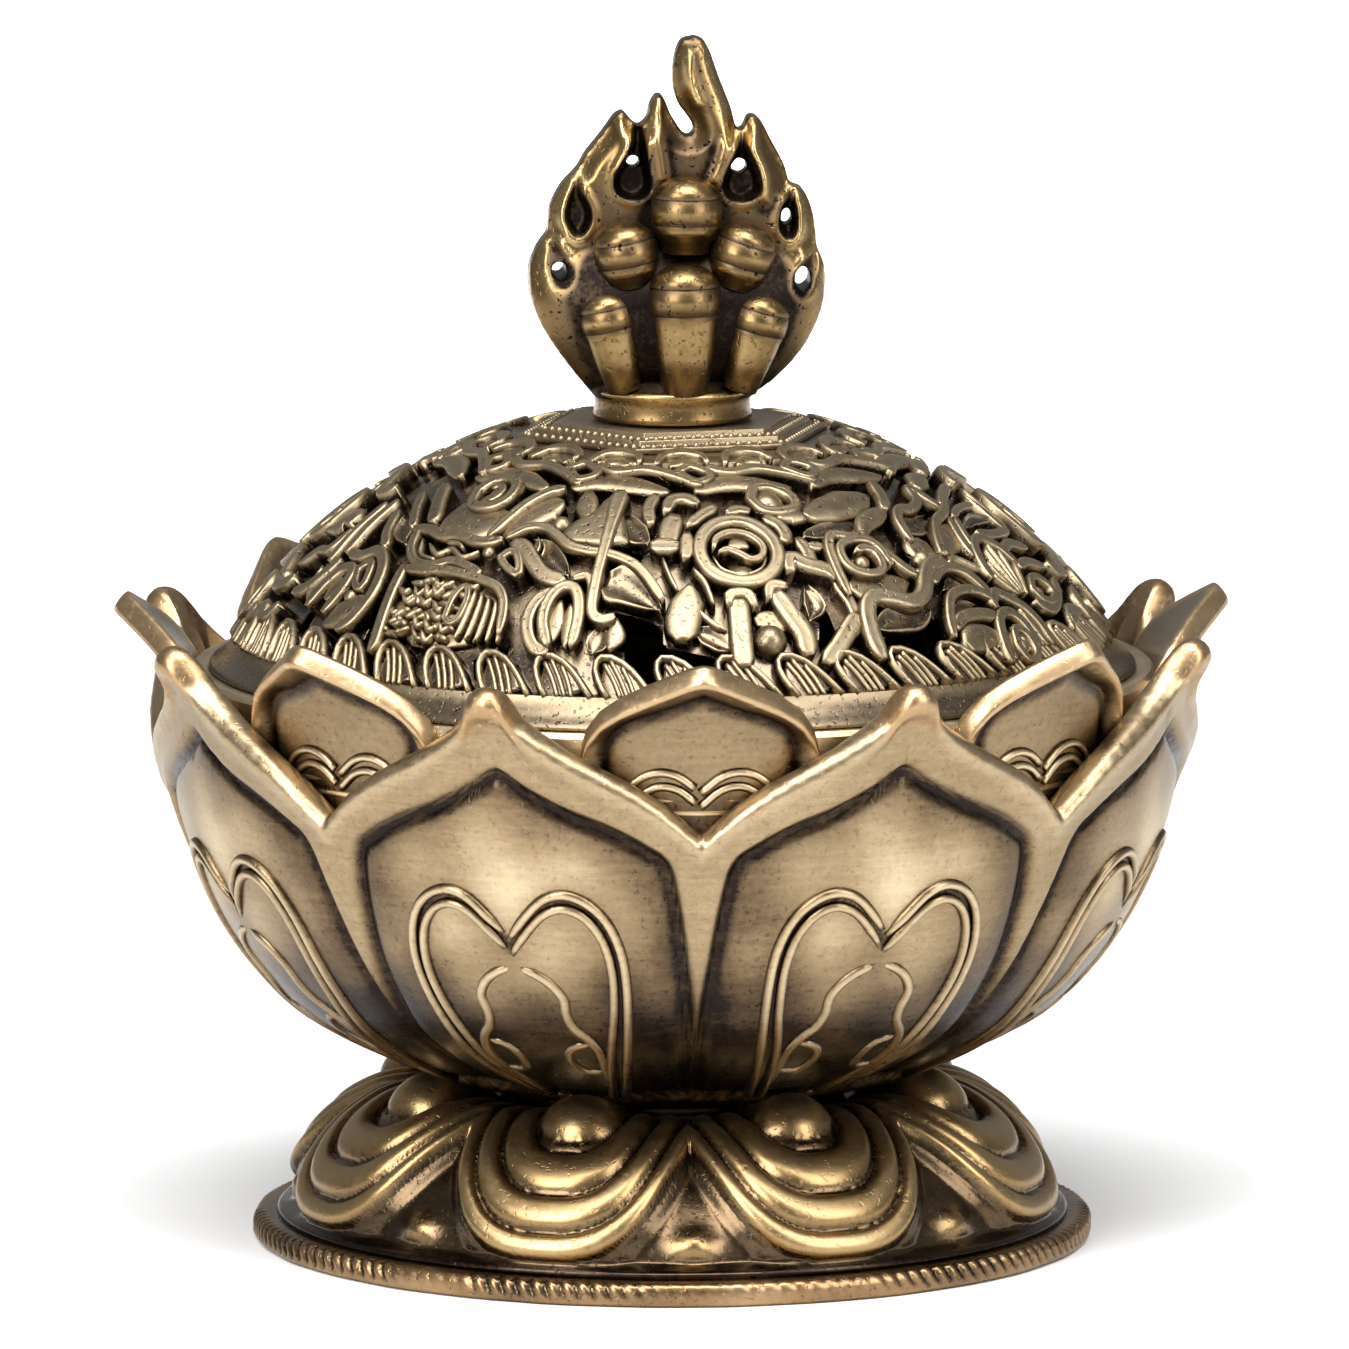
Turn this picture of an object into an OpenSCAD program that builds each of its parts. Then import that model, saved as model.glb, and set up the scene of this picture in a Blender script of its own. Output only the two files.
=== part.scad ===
// Lotus incense burner: a footed bowl of lotus petals, a pierced lid and a flaming-jewel finial.
// Origin at the centre of the resting face, +Z up, millimetres. A notch between two outer petals faces -Y.

/* [Whole object] */
// Number of outer petals, inner petals and foot petals
petal_count = 8; // [8:1:8]
// Wall thickness of the cast shells
wall = 1.7; // [1.4:0.1:2]
// Curve quality of round parts
round_fn = 96; // [48:8:144]

/* [Foot] */
// Radius of the milled base ring
base_r = 33.2; // [32.4:0.1:34.5]
// Thickness of the base ring
base_h = 1.9; // [1.5:0.1:2.4]
// Radius of the neck between foot and bowl
neck_r = 13.6; // [12.5:0.1:14.5]

/* [Lotus bowl] */
// Radius of the circle through the outer petal tips
petal_tip_r = 44.2; // [43.4:0.1:45]
// Height of the outer petal tips above the table
petal_tip_z = 49; // [48.4:0.1:49.6]
// Height of the notches between outer petals
notch_z = 37.8; // [36:0.1:39]

/* [Inner bowl] */
// Radius of the circle through the inner petal tips
inner_tip_r = 44.2; // [43.6:0.1:44.6]
// Height of the inner petal tips above the table
inner_tip_z = 52; // [51:0.1:52.6]
// Radius of the fireproof mat
mat_r = 17; // [15:0.5:18]
// Thickness of the fireproof mat
mat_h = 3; // [2:0.5:3.5]

/* [Lid] */
// Radius of the dome at its lower edge
dome_r = 34.6; // [34.2:0.1:34.8]
// Radius of the lid's flange where it rests on the bowl
flange_r = 36.4; // [36:0.1:36.6]
// Circumradius of the hexagonal cap plate
cap_r = 12.8; // [12:0.1:13.4]
// Turn of the cap plate from a corner at -Y
cap_turn = -16; // [-30:1:30]
// Number of wave tongues in the band above the flange
wave_count = 44; // [40:2:50]

/* [Finial] */
// Radius of the finial's collar
collar_r = 6.4; // [6:0.1:6.8]
// Height of the flame tip above the table
total_h = 95; // [94.6:0.1:95.4]
// Thickness of the flame at its root
flame_t = 5; // [4:0.5:6]

/* [Hidden] */

old_brass = [0.56, 0.46, 0.29];
dark_brass = [0.30, 0.25, 0.18];
plain_steel = [0.62, 0.62, 0.60];
mat_white = [0.86, 0.84, 0.79];

step = 360 / petal_count;
eps = 0.02;

// Stack of the foot, in heights above the table
foot_top_z = 10.6;
foot_plate_h = 1.9;
neck_h = 1.8;
bowl_z = foot_top_z + neck_h;
bolt_r = 2;
bolt_hole_r = 2.2;
bolt_head_r = 3.9;
bolt_tip_z = 4.6;
nut_h = 3.2;
nut_r = 4.04;
washer_h = 0.8;

// Half profiles of the foot's outside, of the hollow under it, and of the middle of the wall between the two
foot_outside = [[16, foot_top_z], [19.8, 11.1], [24.2, 10], [27.6, 7.9], [30, 5.2], [31.1, 3.2],
                [31.1, base_h]];
foot_hollow = [[29.2, base_h], [29, 3.2], [27.8, 4.9], [25.8, 6.9], [23, 8.2], [18.5, 9], [17, 8.7]];
foot_core = [[30, 2.2], [29.4, 4.2], [26.8, 7.2], [23.4, 9.1], [19, 10], [16.5, 9.6]];

// Half profile of the lotus bowl's outside, from its base to the petal tips
bowl_outside = [[14, bowl_z], [16.6, 12.9], [19.3, 13.9], [22.4, 15.3], [26.6, 17.5], [30.2, 20],
                [33.2, 23.4], [35.4, 26.7], [37.3, 30.7], [38.8, 34.7], [40, 39.3], [40.7, 43.3],
                [41.8, 46.2], [petal_tip_r, petal_tip_z]];
// The inner bowl stands a hair inside the outer shell
liner_gap = 0.2;
liner_wall = 1.8;
floor_t = 2.6;
floor_r = 18.2;
floor_z = bowl_z + wall + liner_gap + floor_t;
ledge_z = 45.4;
ledge_h = 1.6;
ledge_inner_r = 33.7;

// Dome of the lid: a cap of one sphere
dome_z = 47.6;
apex_z = 66;
sphere_r = (dome_r * dome_r + pow(apex_z - dome_z, 2)) / (2 * (apex_z - dome_z));
sphere_z = apex_z - sphere_r;
dome_wall = 1.7;
top_z = 63.6;
top_h = 1.6;
register_r = 33.3;
register_h = 2.4;

// Cap plate in three hexagonal tiers
tier_h = 0.45;
tier_step = 1.1;
cap_z = top_z + 3 * tier_h;
screw_r = 1.5;
screw_head_r = 2.8;
screw_head_h = 1.7;
screw_washer_h = 0.6;

// Flame outline seen from the front: x from the axis, height above the table
flame_outline = [[6.2, 67.3], [8.3, 68.4], [10.3, 70.6], [11.6, 73.1], [12, 75.5], [11.9, 77.2], [11.4, 78],
                 [11.1, 78.7], [11.2, 80.3], [10.7, 82], [9.8, 83], [9.1, 83.4], [8.7, 84.9], [7.6, 86.8],
                 [6.8, 88.1], [6, 88.7], [5.4, 87.4], [4.9, 88.4], [4.2, 90], [3.4, 91.8], [2.7, 93.8],
                 [2, 94.8], [1.3, total_h], [0.6, 94.5], [0.1, 93], [0, 91.5], [0.4, 90], [1.2, 88.6],
                 [1.9, 87.3], [1.2, 86.7], [0.2, 87.5], [-0.4, 89.2], [-1, 90.4], [-1.7, 89.8], [-2.2, 88.2],
                 [-2.9, 87.9], [-3.8, 88.9], [-4.9, 87.9], [-6.1, 86.2], [-7.2, 85], [-7.7, 84.3],
                 [-9.2, 82.7], [-9.9, 81.1], [-10.2, 79.2], [-10.9, 78.2], [-11.5, 76.6], [-11.4, 74.3],
                 [-10.6, 72.3], [-9.5, 70.5], [-8, 68.6], [-6.2, 67.3]];
// Round eyes of the flame's openings: x, height, radius
flame_eyes = [[-9, 76.6, 0.9], [-7.4, 80.6, 1], [-2.9, 85, 1], [5.1, 84.6, 1], [8.9, 80.8, 1],
              [10, 76.2, 0.9]];
// Jewels with a long tapering body: x, height of the shoulder, radius, lean in degrees
long_jewels = [[0.4, 75, 2.9, 0], [-5.4, 73.6, 2.1, 15], [6.2, 73.3, 2.1, -18]];
// Barrel-shaped jewels above them: x, height, radius, lean in degrees
short_jewels = [[0.6, 81.2, 2.6, 0], [-3.9, 78.4, 2.3, 12], [5, 77.9, 2.3, -18]];
long_jewel_y = 6;
short_jewel_y = 4;

// A straight-sided block along the radius at azimuth a, drawn as a 2D shape of (tangent, height)
module radial(a, r_from, r_to) {
    rotate([0, 0, a]) translate([0, -r_from, 0]) rotate([90, 0, 0])
        linear_extrude(r_to - r_from) children();
}

// A round hole square to the lid's dome, at azimuth a and height z
module vent(a, z, r) {
    lift = asin((z - sphere_z) / sphere_r);
    translate([0, 0, sphere_z]) rotate([0, 0, a]) rotate([90 - lift, 0, 0])
        translate([0, 0, sphere_r - 5]) cylinder(r = r, h = 8, $fn = 24);
}

// A ball bead or other piece standing square on the lid's dome, at azimuth a and height z
module on_dome(a, z, rise = 0) {
    lift = asin((z - sphere_z) / sphere_r);
    translate([0, 0, sphere_z]) rotate([0, 0, a]) rotate([90 - lift, 0, 0])
        translate([0, 0, sphere_r + rise]) children();
}

module base_ring() {
    color(old_brass) rotate_extrude($fn = round_fn)
        polygon([[26, 0], [base_r - 0.3, 0], [base_r, 0.3], [base_r, base_h - 0.3], [base_r - 0.3, base_h],
                 [26, base_h]]);
}

// One foot petal: a smooth boss inside nested horseshoe ridges, each [radius, height, slope] on the dome
module foot_petal() {
    translate([0, -20.6, 9.4]) sphere(r = 3.6, $fn = 32);
    for (ridge = [[5.2, 10.7, 17], [8.6, 10.6, 27]])
        translate([0, -20, ridge[1]]) rotate([ridge[2], 0, 0]) rotate([0, 0, 180])
            rotate_extrude(angle = 180, $fn = 48) translate([ridge[0], 0]) circle(r = 1.15, $fn = 20);
}

module foot() {
    plate_z = foot_top_z - foot_plate_h;
    color(old_brass) difference() {
        union() {
            rotate_extrude($fn = round_fn)
                polygon(concat([[bolt_hole_r, foot_top_z]], foot_outside, foot_hollow,
                               [[bolt_hole_r, plate_z]]));
            difference() {
                for (i = [0 : petal_count - 1]) rotate([0, 0, step * (i + 0.5)]) foot_petal();
                // keeps the petals' undersides inside the cast wall
                rotate_extrude($fn = round_fn) polygon(concat([[0, -9], [30, -9]], foot_core, [[0, 9.6]]));
            }
        }
        // trims what would reach past the base ring or below its top face
        difference() {
            translate([0, 0, -10]) cylinder(r = 60, h = 40, $fn = round_fn);
            translate([0, 0, base_h]) cylinder(r = 31.8, h = 40, $fn = round_fn);
        }
    }
}

module neck() {
    color(dark_brass) difference() {
        translate([0, 0, foot_top_z]) cylinder(r = neck_r, h = neck_h, $fn = round_fn);
        translate([0, 0, foot_top_z - 1]) cylinder(r = bolt_hole_r, h = neck_h + 2, $fn = 32);
    }
}

module centre_bolt() {
    head_h = bolt_head_r - bolt_r;
    color(plain_steel) {
        translate([0, 0, bolt_tip_z])
            cylinder(r = bolt_r, h = floor_z - bolt_tip_z - head_h + eps, $fn = 32);
        difference() {
            translate([0, 0, floor_z - head_h])
                cylinder(r1 = bolt_r, r2 = bolt_head_r, h = head_h, $fn = 48);
            translate([-3, -0.4, floor_z - 0.8]) cube([6, 0.8, 2]);
        }
    }
}

module bolt_washer() {
    color(plain_steel) difference() {
        translate([0, 0, foot_top_z - foot_plate_h - washer_h]) cylinder(r = 4.5, h = washer_h, $fn = 48);
        cylinder(r = bolt_hole_r, h = 20, $fn = 32);
    }
}

module bolt_nut() {
    color(plain_steel) difference() {
        translate([0, 0, foot_top_z - foot_plate_h - washer_h - nut_h])
            cylinder(r = nut_r, h = nut_h, $fn = 6);
        cylinder(r = bolt_r + eps, h = 20, $fn = 32);
    }
}

// The half profile of a cast shell: the bowl's outside moved in by outer_in, and again by outer_in + thick
function moved_in(line, by) = [for (i = [0 : len(line) - 1])
    let (a = line[max(i - 1, 0)], b = line[min(i + 1, len(line) - 1)], d = b - a)
        line[i] + [-d[1], d[0]] / norm(d) * by];
function reversed(line) = [for (i = [len(line) - 1 : -1 : 0]) line[i]];

// One notch between two outer petals, as (tangent, height): an ogee valley with its lowest point at notch_z
function valley(side) = [[side * 1.4, notch_z + 0.8], [side * 3.1, notch_z + 2.3],
                         [side * 5.5, notch_z + 3.9], [side * 8, notch_z + 5.1],
                         [side * 10.9, notch_z + 6.6], [side * 13.2, notch_z + 7.8],
                         [side * 15.2, notch_z + 9.7], [side * 16.4, petal_tip_z + 0.3]];

module lotus_bowl() {
    inside = moved_in(bowl_outside, wall);
    wall_inside = [for (p = inside) if (p[1] > bowl_z + wall + 0.3) p];
    color(old_brass) difference() {
        rotate_extrude($fn = round_fn)
            polygon(concat([[bolt_hole_r, bowl_z]], bowl_outside, reversed(wall_inside),
                           [[14.5, bowl_z + wall], [bolt_hole_r, bowl_z + wall]]));
        for (i = [0 : petal_count - 1])
            radial(i * step, 30, 50)
                polygon(concat([[0, notch_z]], valley(1), [[16.4, 60], [-16.4, 60]], reversed(valley(-1))));
    }
}

// Half outline of one inner petal, as (tangent, height)
function inner_petal_side(side) = [[side * 9.4, 42.6], [side * 9.4, 44.3], [side * 8.9, 46.4],
                                   [side * 7.4, 48.2], [side * 4.3, 50], [side * 1.6, 51.5]];

module inner_bowl() {
    outside = [for (p = moved_in(bowl_outside, wall + liner_gap))
        if (p[1] < 43.5 && p[1] > bowl_z + wall + 0.5) p];
    inside = [for (p = moved_in(bowl_outside, wall + liner_gap + liner_wall))
        if (p[1] < ledge_z - ledge_h - 1 && p[0] > floor_r + 1) p];
    base_z = bowl_z + wall + liner_gap;
    ring_r = outside[len(outside) - 1][0];
    seat_h = bolt_head_r - bolt_r;
    color(old_brass) {
        difference() {
            rotate_extrude($fn = round_fn)
                polygon(concat([[bolt_hole_r, base_z], [14.4, base_z]], outside,
                               [[ring_r, ledge_z], [ledge_inner_r, ledge_z],
                                [ledge_inner_r, ledge_z - ledge_h], [ring_r - 2.2, ledge_z - ledge_h - 0.8]],
                               reversed(inside), [[floor_r, floor_z], [bolt_hole_r, floor_z]]));
            // seat for the countersunk bolt head
            translate([0, 0, floor_z - seat_h - 0.05])
                cylinder(r1 = bolt_r + 0.1, r2 = bolt_head_r + 0.1, h = seat_h + 0.1, $fn = 48);
        }
        // eight petals that flare outwards, clear of the lid's way up
        intersection() {
            rotate_extrude($fn = round_fn)
                polygon([[ring_r - 1.2, 43.2], [ring_r, 43.2], [ring_r + 1.1, 45.4], [ring_r + 2.9, 48],
                         [inner_tip_r, inner_tip_z], [inner_tip_r - 1.2, inner_tip_z + 0.4],
                         [ring_r + 1.4, 48.4], [ring_r - 0.3, 45.8], [ring_r - 1.2, 45.2]]);
            union() for (i = [0 : petal_count - 1])
                radial(i * step, 30, 46)
                    polygon(concat(inner_petal_side(1), [[0, inner_tip_z]], reversed(inner_petal_side(-1))));
        }
    }
}

module fireproof_mat() {
    color(mat_white) translate([0, 0, floor_z]) cylinder(r = mat_r, h = mat_h, $fn = 64);
}

// The lid's dome with its flat crown, flange and register, before it is pierced
module lid_shell() {
    difference() {
        translate([0, 0, sphere_z]) sphere(r = sphere_r, $fn = round_fn);
        translate([0, 0, sphere_z]) sphere(r = sphere_r - dome_wall, $fn = round_fn);
        translate([0, 0, dome_z - 80]) cylinder(r = 60, h = 80, $fn = 48);
        translate([0, 0, top_z]) cylinder(r = 60, h = 60, $fn = 48);
    }
    translate([0, 0, top_z - top_h]) cylinder(r = 13.2, h = top_h, $fn = 48);
    rotate_extrude($fn = round_fn)
        polygon([[register_r - 1.8, ledge_z - register_h], [register_r, ledge_z - register_h],
                 [register_r, ledge_z], [flange_r, ledge_z], [flange_r, ledge_z + 0.4], [dome_r, dome_z],
                 [dome_r - 0.3, dome_z + 0.6], [dome_r - 2.6, dome_z + 0.6],
                 [register_r - 1.8, dome_z - 0.4]]);
}

module smoke_vents() {
    for (i = [0 : petal_count - 1]) {
        vent(i * step, 52.4, 1.9);
        vent((i + 0.5) * step, 53, 2.6);
        vent((i + 0.5) * step, 58.4, 2.2);
        vent(i * step, 57.2, 1.2);
    }
    for (i = [0 : 2 * petal_count - 1]) vent((i + 0.5) * step / 2, 61.4, 1);
}

module lid() {
    color(old_brass) {
        difference() {
            lid_shell();
            smoke_vents();
            translate([0, 0, top_z - 3]) cylinder(r = screw_r + 0.2, h = 6, $fn = 32);
        }
        // eight raised wheels in the middle of the dome
        for (i = [0 : petal_count - 1])
            on_dome(i * step, 57.2) rotate_extrude($fn = 40) translate([2.9, 0]) circle(r = 0.7, $fn = 16);
        // wave scallops above the flange
        for (i = [0 : wave_count - 1])
            on_dome(360 / wave_count * (i + 0.5), dome_z + 1.2, -1.2) cylinder(r = 1.8, h = 1.9, $fn = 16);
    }
}

module cap_plate() {
    color(old_brass) difference() {
        union() for (i = [0 : 2])
            translate([0, 0, top_z + i * tier_h]) rotate([0, 0, 30 + cap_turn])
                cylinder(r = cap_r - i * tier_step, h = tier_h, $fn = 6);
        translate([0, 0, top_z - 1]) cylinder(r = screw_r + 0.2, h = 4, $fn = 32);
    }
}

// A jewel standing in front of the flame: a ball cap, two fine bands and a body below
module jewel(r, body_h, body_r) {
    sphere(r = r, $fn = 32);
    translate([0, 0, -0.45 * r]) cylinder(r = r * 1.03, h = 0.5 * r, $fn = 32);
    translate([0, 0, -body_h]) cylinder(r1 = body_r, r2 = r * 0.9, h = body_h - 0.3 * r, $fn = 32);
}

module finial() {
    color(old_brass) difference() {
        union() {
            translate([0, 0, cap_z]) cylinder(r = collar_r, h = 2.3, $fn = 64);
            // the cup that holds the jewels
            intersection() {
                translate([0, 0, 74]) sphere(r = 9, $fn = 48);
                translate([-20, -6, cap_z + 1]) cube([40, 12, 14]);
            }
            translate([0, flame_t / 2, 0]) rotate([90, 0, 0]) linear_extrude(flame_t) difference() {
                polygon(flame_outline);
                for (eye = flame_eyes) translate([eye[0], eye[1]]) circle(r = eye[2], $fn = 20);
            }
            for (side = [0, 180]) rotate([0, 0, side]) {
                for (j = long_jewels)
                    translate([j[0], -long_jewel_y, j[1]]) rotate([0, -j[3], 0])
                        jewel(j[2], 5.6, j[2] * 0.55);
                for (j = short_jewels)
                    translate([j[0], -short_jewel_y, j[1]]) rotate([0, -j[3], 0])
                        jewel(j[2], j[2], j[2] * 0.5);
            }
        }
        translate([0, 0, cap_z - 1]) cylinder(r = screw_r + eps, h = 7, $fn = 32);
        // keeps every jewel above the collar's foot
        translate([0, 0, cap_z - 20]) cylinder(r = 40, h = 20, $fn = 32);
    }
}

module finial_screw() {
    seat_z = top_z - top_h - screw_washer_h;
    color(plain_steel) difference() {
        union() {
            translate([0, 0, seat_z - screw_head_h]) cylinder(r = screw_head_r, h = screw_head_h, $fn = 48);
            translate([0, 0, seat_z - eps]) cylinder(r = screw_r, h = cap_z + 5 - seat_z, $fn = 32);
        }
        for (turn = [0, 90]) rotate([0, 0, turn])
            translate([-1.6, -0.3, seat_z - screw_head_h - 1]) cube([3.2, 0.6, 2]);
    }
}

module finial_washer() {
    color(plain_steel) difference() {
        translate([0, 0, top_z - top_h - screw_washer_h]) cylinder(r = 3.6, h = screw_washer_h, $fn = 48);
        translate([0, 0, top_z - 10]) cylinder(r = screw_r + 0.2, h = 20, $fn = 32);
    }
}

base_ring();
foot();
neck();
centre_bolt();
bolt_washer();
bolt_nut();
lotus_bowl();
inner_bowl();
fireproof_mat();
lid();
cap_plate();
finial();
finial_screw();
finial_washer();
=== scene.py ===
import math
import random

import bpy
import numpy as np
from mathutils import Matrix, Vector


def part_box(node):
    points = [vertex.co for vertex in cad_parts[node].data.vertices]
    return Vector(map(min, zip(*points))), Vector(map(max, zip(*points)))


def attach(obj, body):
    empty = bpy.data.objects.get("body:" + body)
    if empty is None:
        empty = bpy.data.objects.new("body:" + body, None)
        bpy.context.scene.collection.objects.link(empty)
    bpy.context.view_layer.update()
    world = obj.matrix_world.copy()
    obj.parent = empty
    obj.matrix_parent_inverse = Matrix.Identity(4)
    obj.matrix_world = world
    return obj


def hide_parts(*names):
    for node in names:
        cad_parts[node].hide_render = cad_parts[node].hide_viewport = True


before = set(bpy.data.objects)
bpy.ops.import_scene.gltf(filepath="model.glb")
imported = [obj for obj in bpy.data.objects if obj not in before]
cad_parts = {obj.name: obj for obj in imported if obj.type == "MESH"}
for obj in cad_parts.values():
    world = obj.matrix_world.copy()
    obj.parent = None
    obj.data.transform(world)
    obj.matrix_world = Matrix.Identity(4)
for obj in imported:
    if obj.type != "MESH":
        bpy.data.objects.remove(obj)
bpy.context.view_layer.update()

# Everything is written in millimetres and turned into metres when a piece is built.
MM = 0.001

# ---------------------------------------------------------------- sizes of the burner
PETALS = 8
STEP = 360 / PETALS
HALF_STEP = STEP / 2
WALL = 1.7
NECK_RADIUS = 13.6
FOOT_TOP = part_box("neck")[0].z / MM
BOWL_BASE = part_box("lotus_bowl")[0].z / MM
RING_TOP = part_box("base_ring")[1].z / MM
RING_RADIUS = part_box("base_ring")[1].x / MM
# How far below the CAD's tips the petals' edge lines end; the rounded rims stand above those lines
TIP_DROP = 1.2
TIP_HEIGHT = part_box("lotus_bowl")[1].z / MM - TIP_DROP
INNER_TIP_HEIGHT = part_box("inner_bowl")[1].z / MM - TIP_DROP
# Radius of the hole for the centre bolt
BOLT_HOLE = 2.2
# Columns of faces across one large petal or one petal of the foot
PETAL_COLUMNS = 98
# Edges that bend by more than this stay sharp on the turned pieces
SHARP_BEND = math.radians(35)
LEDGE_HEIGHT = 45.4
CROWN_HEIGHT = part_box("cap_plate")[0].z / MM
CAP_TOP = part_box("cap_plate")[1].z / MM


# ---------------------------------------------------------------- shader toolkit
class Value:
    """A shader socket that adds Math nodes when it is used in an expression."""

    def __init__(self, maker, socket):
        self.maker = maker
        self.socket = socket

    def _math(self, operation, *terms, clamp=False):
        return self.maker.node("ShaderNodeMath", {"operation": operation, "use_clamp": clamp},
                               {i: term for i, term in enumerate(terms)})

    def __add__(self, other):
        return self._math("ADD", self, other)

    def __sub__(self, other):
        return self._math("SUBTRACT", self, other)

    def __rsub__(self, other):
        return self._math("SUBTRACT", other, self)

    def __mul__(self, other):
        return self._math("MULTIPLY", self, other)

    def clamped(self):
        return self._math("ADD", self, 0.0, clamp=True)

    def largest(self, other):
        return self._math("MAXIMUM", self, other)


class Finish:
    """One material: its shader, and the nodes that feed it."""

    def __init__(self, name, **shader):
        self.material = bpy.data.materials.new(name)
        self.material.use_nodes = True
        self.tree = self.material.node_tree
        self.shader = self.tree.nodes["Principled BSDF"]
        for socket, value in shader.items():
            self.set(socket.replace("_", " "), value)

    def set(self, socket, value):
        """Sets one of the shader's own sockets, to a number or a colour, or links it."""
        if isinstance(value, Value):
            self.tree.links.new(value.socket, self.shader.inputs[socket])
        else:
            self.shader.inputs[socket].default_value = (*value, 1) if isinstance(value, tuple) else value

    def node(self, kind, settings=None, inputs=None, output=0):
        """Adds a node: its type, its settings, then its sockets' values or links."""
        made = self.tree.nodes.new(kind)
        for setting, value in (settings or {}).items():
            if setting == "stops":
                self._fill_ramp(made.color_ramp, value)
            else:
                setattr(made, setting, value)
        for socket, value in (inputs or {}).items():
            if isinstance(value, Value):
                self.tree.links.new(value.socket, made.inputs[socket])
            else:
                made.inputs[socket].default_value = value
        return Value(self, made.outputs[output])

    @staticmethod
    def _fill_ramp(ramp, stops):
        while len(ramp.elements) < len(stops):
            ramp.elements.new(1)
        for element, (place, colour) in zip(ramp.elements, stops):
            element.position = place
            element.color = (*colour, 1)

    def place(self):
        return self.node("ShaderNodeTexCoord", output="Object")

    def attribute(self, name):
        return self.node("ShaderNodeAttribute", {"attribute_name": name}, output="Fac")

    def stretched(self, scale):
        return self.node("ShaderNodeMapping", {}, {"Vector": self.place(), "Scale": scale})

    def noise(self, size, detail=4, rough=0.55, distort=0.0, vector=None):
        """Noise whose features are about size millimetres across, from 0 to 1."""
        return self.node("ShaderNodeTexNoise", {}, {
            "Vector": vector or self.place(), "Scale": 1 / (size * MM), "Detail": detail,
            "Roughness": rough, "Distortion": distort})

    def ramp(self, value, *stops):
        return self.node("ShaderNodeValToRGB", {"stops": stops}, {"Fac": value})

    def between(self, value, low, high, to_low=0.0, to_high=1.0):
        """A smooth step of value from low to high, put on the range to_low to to_high."""
        return self.node("ShaderNodeMapRange", {"interpolation_type": "SMOOTHSTEP"}, {
            "Value": value, "From Min": low, "From Max": high, "To Min": to_low, "To Max": to_high})

    def mix(self, factor, first, second):
        """Mixes two colours, each a colour or a link."""
        as_colour = [c if isinstance(c, Value) else (*c, 1) for c in (first, second)]
        return self.node("ShaderNodeMix", {"data_type": "RGBA"}, {
            0: factor, 6: as_colour[0], 7: as_colour[1]}, output=2)

    def bump(self, height, depth, strength=1.0, under=None):
        """Turns a height from 0 to 1 into a normal, depth millimetres deep."""
        sockets = {"Strength": strength, "Distance": depth * MM, "Height": height}
        if under:
            sockets["Normal"] = under
        return self.node("ShaderNodeBump", {}, sockets)


# ---------------------------------------------------------------- finishes
PATINA = (0.020, 0.014, 0.012)
BROWN = (0.115, 0.077, 0.043)
BRASS = (0.28, 0.204, 0.116)
RUBBED = (0.54, 0.43, 0.275)
COPPER = (0.33, 0.175, 0.065)


def cast_brass(name, brass=BRASS, rubbed=RUBBED, brown=BROWN, patina=PATINA, rough=0.36, dark_rough=0.3,
               speckle=0.35, streaks=0.5, copper=0.0, grain=0.5, pits=0.03):
    """Antique brass: dark in the recesses and bright where the vertex attribute is high, which holds how
    rubbed the brass is and, on some pieces, painted shade and painted highlights.
    """
    made = Finish(name, Metallic=1.0)
    worn = made.attribute("worn")
    broad = made.noise(9, 3, 0.6)
    fine = made.noise(0.55, 3, 0.65)
    brushed = made.noise(0.45, 4, 0.7, vector=made.stretched((0.1, 0.1, 1)))
    specks = made.between(made.noise(0.42, 2, 0.5), 0.60, 0.70)
    level = worn + (broad - 0.5) * 0.28 + (fine - 0.5) * 0.22 + (brushed - 0.5) * (0.3 * streaks)
    level = (level - specks * speckle * (1 - worn * 0.45)).clamped()
    colour = made.ramp(level, (0.0, patina), (0.24, brown), (0.52, brass), (0.84, rubbed),
                       (1.0, tuple(min(1, c * 1.22) for c in rubbed)))
    if copper:
        handled = made.attribute("handled") + (made.noise(2.6, 4, 0.7) - 0.5) * 0.9
        colour = made.mix(made.between(handled, 0.25, 0.95, 0.0, copper), colour, COPPER)
        chips = made.between(made.noise(1.1, 5, 0.75), 0.58, 0.64) * made.between(handled, 0.5, 0.8)
        colour = made.mix(chips * 0.8, colour, rubbed)
    made.set("Base Color", colour)
    smooth = made.between(level, 0.1, 0.75, dark_rough, rough)
    made.set("Roughness", (smooth + (fine - 0.5) * 0.14 + (brushed - 0.5) * 0.22 * streaks).clamped())
    relief = made.bump(made.noise(0.9, 5, 0.6), 0.035, grain)
    scratches = made.bump(brushed, 0.02, streaks * 0.8, relief)
    made.set("Normal", made.bump(specks, -pits, 0.8, scratches))
    return made.material


def plated_steel():
    """Zinc-plated fasteners: pale, a little cloudy, with fine turning marks."""
    made = Finish("plated_steel_finish", Metallic=1.0)
    cloudy = made.noise(1.4, 4, 0.6)
    made.set("Base Color", made.ramp(cloudy, (0.25, (0.38, 0.38, 0.37)), (0.7, (0.62, 0.62, 0.6))))
    made.set("Roughness", cloudy * 0.2 + 0.24)
    made.set("Normal", made.bump(made.noise(0.2, 3, 0.6, vector=made.stretched((1, 1, 8))), 0.02, 0.5))
    return made.material


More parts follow.
